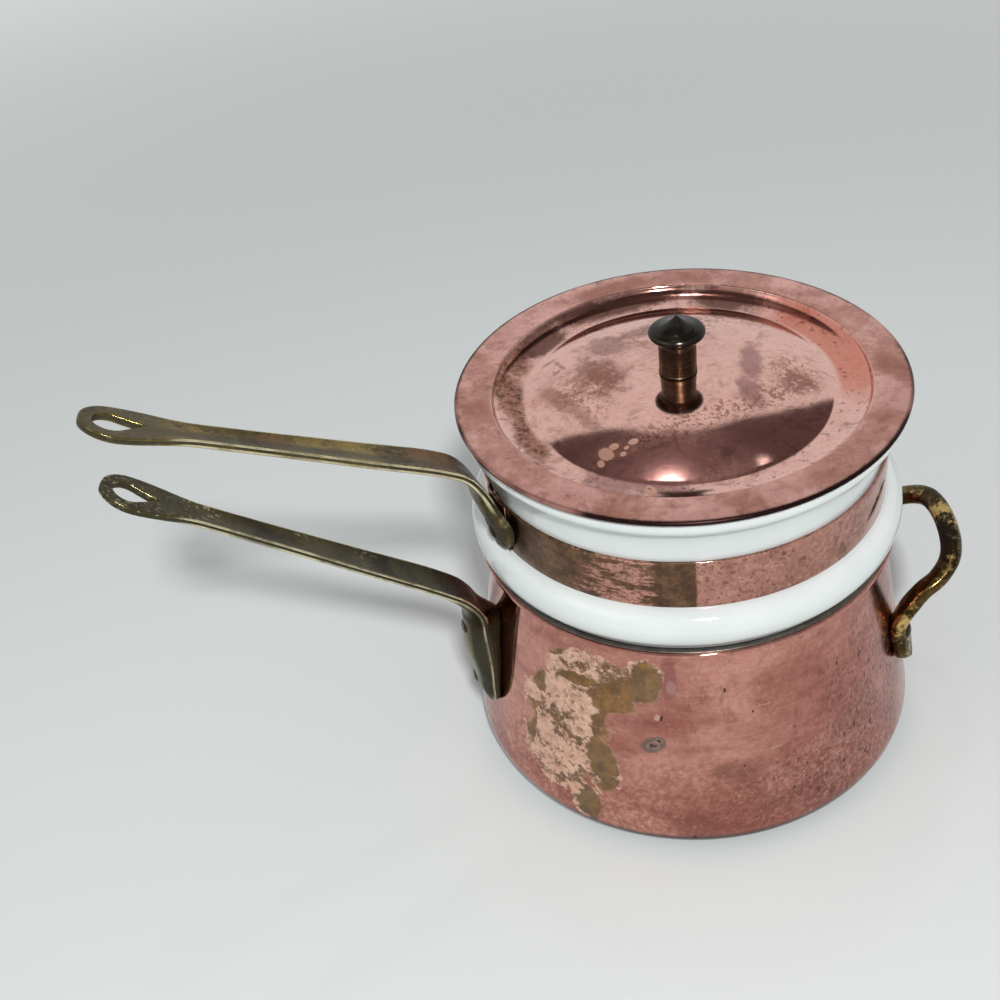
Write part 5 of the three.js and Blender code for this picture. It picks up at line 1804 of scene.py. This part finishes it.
def pot_seat(drop):
    """How far out a rivet sits in the pot handle's foot, at one of the foot's stations."""
    from_tip = (POT_FOOT_EDGE[-1][0] - drop) / math.cos(WALL_TILT)
    _, crown, _, length = POT_HANDLE_FOOT
    return dict(POT_FOOT_EDGE)[drop] + EDGE + foot_swelling(crown, length, from_tip) - SINK


helper_seat = foot_out + HELPER_FOOT[1] * math.cos(math.pi / 8) - 0.5 * SINK
rivet_height = root_height - 12 * MM
spots = [(POT_HEIGHT - drop, POT_AZIMUTH, pot_seat(drop)) for drop in (53 * MM, 27.5 * MM)]
spots += [(rivet_height, HELPER_AZIMUTH + side * foot_angle, helper_seat) for side in (1, -1)]
pot_rivets = set_rivets("pot_rivet_heads", head_button, [wall_place(*spot) for spot in spots])
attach(pot_rivets, "pot")
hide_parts("pot_handle_rivet_lower", "pot_handle_rivet_upper",
            "helper_rivet_rear", "helper_rivet_front")

inside = -(SHEET + SKIN_GAP + TIN + 0.3 * MM)
inner_places = [wall_place(height, azimuth, inside) for height, azimuth, _ in spots]
tail_places = [(point, -way) for point, way in inner_places]
pot_tails = set_rivets("pot_rivet_tails", tail_button, tail_places)
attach(pot_tails, "pot")

rivet_z = BAND_TOP - RIVET_DROP
swelling = foot_swelling(INSERT_HANDLE_FOOT[1], INSERT_HANDLE_FOOT[3], rivet_z - BAND_BOTTOM)
way = Vector((math.cos(INSERT_AZIMUTH), math.sin(INSERT_AZIMUTH), 0))
place = way * (BAND_RADIUS + (EDGE + swelling - SINK)) + Vector((0, 0, rivet_z))
insert_rivet = set_rivets("insert_rivet_head", head_button, [(place, way)])
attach(insert_rivet, "insert")
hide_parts("insert_handle_rivet")
for pattern in (head_button, tail_button):
    bpy.data.objects.remove(pattern)

# %% [markdown]
# ## Floor, room and light
# Polished copper shows what stands round it, so the room matters as much as the metal. The floor
# is a plain pale sheet. For the camera alone it fades into the background's colour further out,
# so that no horizon shows, while the metal still mirrors it as it is.

# %% Floor
BACKGROUND = srgb(219, 223, 222)
FLOOR_REACH = 7.0
FLOOR_DROP = 0.02 * MM     # below the pot's foot, so that the two faces never fight

recipe = Finish("pale_floor")
camera_sees = recipe.node("ShaderNodeLightPath").outputs["Is Camera Ray"]
faded = recipe.times(recipe.levels(recipe.out_from_axis(), 0.35, 1.7), camera_sees)
colour = recipe.mix(faded, srgb(206, 210, 209), (0, 0, 0, 1))
FLOOR_FINISH = recipe.finish(base_color=colour, roughness=0.9, specular_ior_level=0.0,
                             emission_color=BACKGROUND, emission_strength=faded)

floor_mesh = bpy.data.meshes.new("floor")
corners = [(x * FLOOR_REACH, y * FLOOR_REACH, -FLOOR_DROP)
           for x, y in ((-1, -1), (1, -1), (1, 1), (-1, 1))]
floor_mesh.from_pydata(corners, [], [(0, 1, 2, 3)])
floor_mesh.materials.append(FLOOR_FINISH)
floor = new_piece("floor", floor_mesh)
print("the floor is", 2 * FLOOR_REACH, "m wide")

# %% [markdown]
# Two small lamps hang where the room is dark and give the dome its highlights. A broad window at
# the left fills in, and one small front lamp casts the soft shadows of the handles. Every lamp is
# placed by its direction as seen from the lid, which is easy to read off a highlight.


# %% Lamps
def towards(azimuth, elevation):
    """A direction from its azimuth, counted from +X to +Y, and its height, both in degrees."""
    azimuth, elevation = math.radians(azimuth), math.radians(elevation)
    level = math.cos(elevation)
    return Vector((math.cos(azimuth) * level, math.sin(azimuth) * level, math.sin(elevation)))


def softbox(name, way, distance, size, power, turn_by=0.0):
    data = bpy.data.lights.new(name, "AREA")
    data.shape = "RECTANGLE"
    data.size, data.size_y = size
    data.energy = power
    lamp = bpy.data.objects.new(name, data)
    lamp.location = Vector((0, 0, LID_TOP)) + way * distance
    facing = (-way).to_track_quat("-Z", "Y").to_matrix().to_4x4()
    lamp.rotation_euler = (facing @ Matrix.Rotation(math.radians(turn_by), 4, "Z")).to_euler()
    bpy.context.scene.collection.objects.link(lamp)


OVERHEAD = towards(76, 71)
softbox("overhead_lamp", OVERHEAD, 1.6, (0.1, 0.06), 0.7)
softbox("side_spot", towards(34, 60), 1.6, (0.05, 0.12), 0.03, 35)
softbox("window_left", towards(200, 38), 1.5, (0.9, 0.7), 1.5)
softbox("front_lamp", towards(259, 44), 1.3, (0.11, 0.11), 15.5)
print("lamps in watts:", {lamp.name: round(lamp.energy, 2) for lamp in bpy.data.lights})

# %% [markdown]
# The room is painted on the world by direction: pale up to a border, dark above it behind the
# pot, dim under the ceiling and in front, and a soft glow round the overhead lamp. A curve gives
# the border's height all the way round. The camera itself sees only a plain pale world.

# %% The room
ROOM_PALE = (0.74, 0.76, 0.77, 1)
ROOM_DARK = (0.1, 0.07, 0.072, 1)
CEILING = (0.26, 0.26, 0.265, 1)
LAMP_GLOW = (0.4, 0.34, 0.32, 1)
GLOW_REACH = math.radians(22)
# how high the pale part reaches behind the pot: (azimuth, elevation) in degrees
PALE_BORDER = [(0, 90), (14, 88), (31, 42), (38, 30), (42, 38), (50, 47), (68, 55), (90, 48),
               (104, 44), (128, 56), (150, 88), (180, 90)]

world = bpy.data.worlds.new("room")
world.use_nodes = True
bpy.context.scene.world = world
room = Recipe(world.node_tree, "Generated")
x, y, z = room.axes()
elevation = room.times(room.sum("ARCSINE", z), 180 / math.pi)
half_turns = room.times(room.sum("ARCTAN2", y, x), 1 / math.pi)

curve_node = room.node("ShaderNodeFloatCurve", {"Value": room.sum("MAXIMUM", half_turns, 0.0)})
curve = curve_node.mapping.curves[0]
for azimuth, top in PALE_BORDER[1:-1]:
    curve.points.new(azimuth / 180, top / 90)
curve.points[0].location = (0, 1)
curve.points[-1].location = (1, 1)
curve_node.mapping.update()
border = room.times(curve_node.outputs[0], 90)

light = room.mix(room.levels(elevation, 52, 70), ROOM_PALE, CEILING)
light = room.mix(room.levels(room.less(elevation, border), -0.5, 0.5), light, ROOM_DARK)
light = room.mix(room.levels(y, 0.1, -0.4, 0, 0.48), light, ROOM_DARK)
beside_lamp = room.node("ShaderNodeVectorMath", {0: room.place, 1: OVERHEAD},
                        operation="DOT_PRODUCT").outputs["Value"]
glow = room.levels(beside_lamp, math.cos(GLOW_REACH), 1.0)
light = room.mix(room.times(glow, 0.7), light, LAMP_GLOW)
seen = room.node("ShaderNodeLightPath").outputs["Is Camera Ray"]
light = room.mix(seen, light, BACKGROUND)
background = world.node_tree.nodes["Background"]
room.connect(light, background.inputs["Color"])
background.inputs["Strength"].default_value = 1.0
print("the world has", len(world.node_tree.nodes), "nodes")

# %% [markdown]
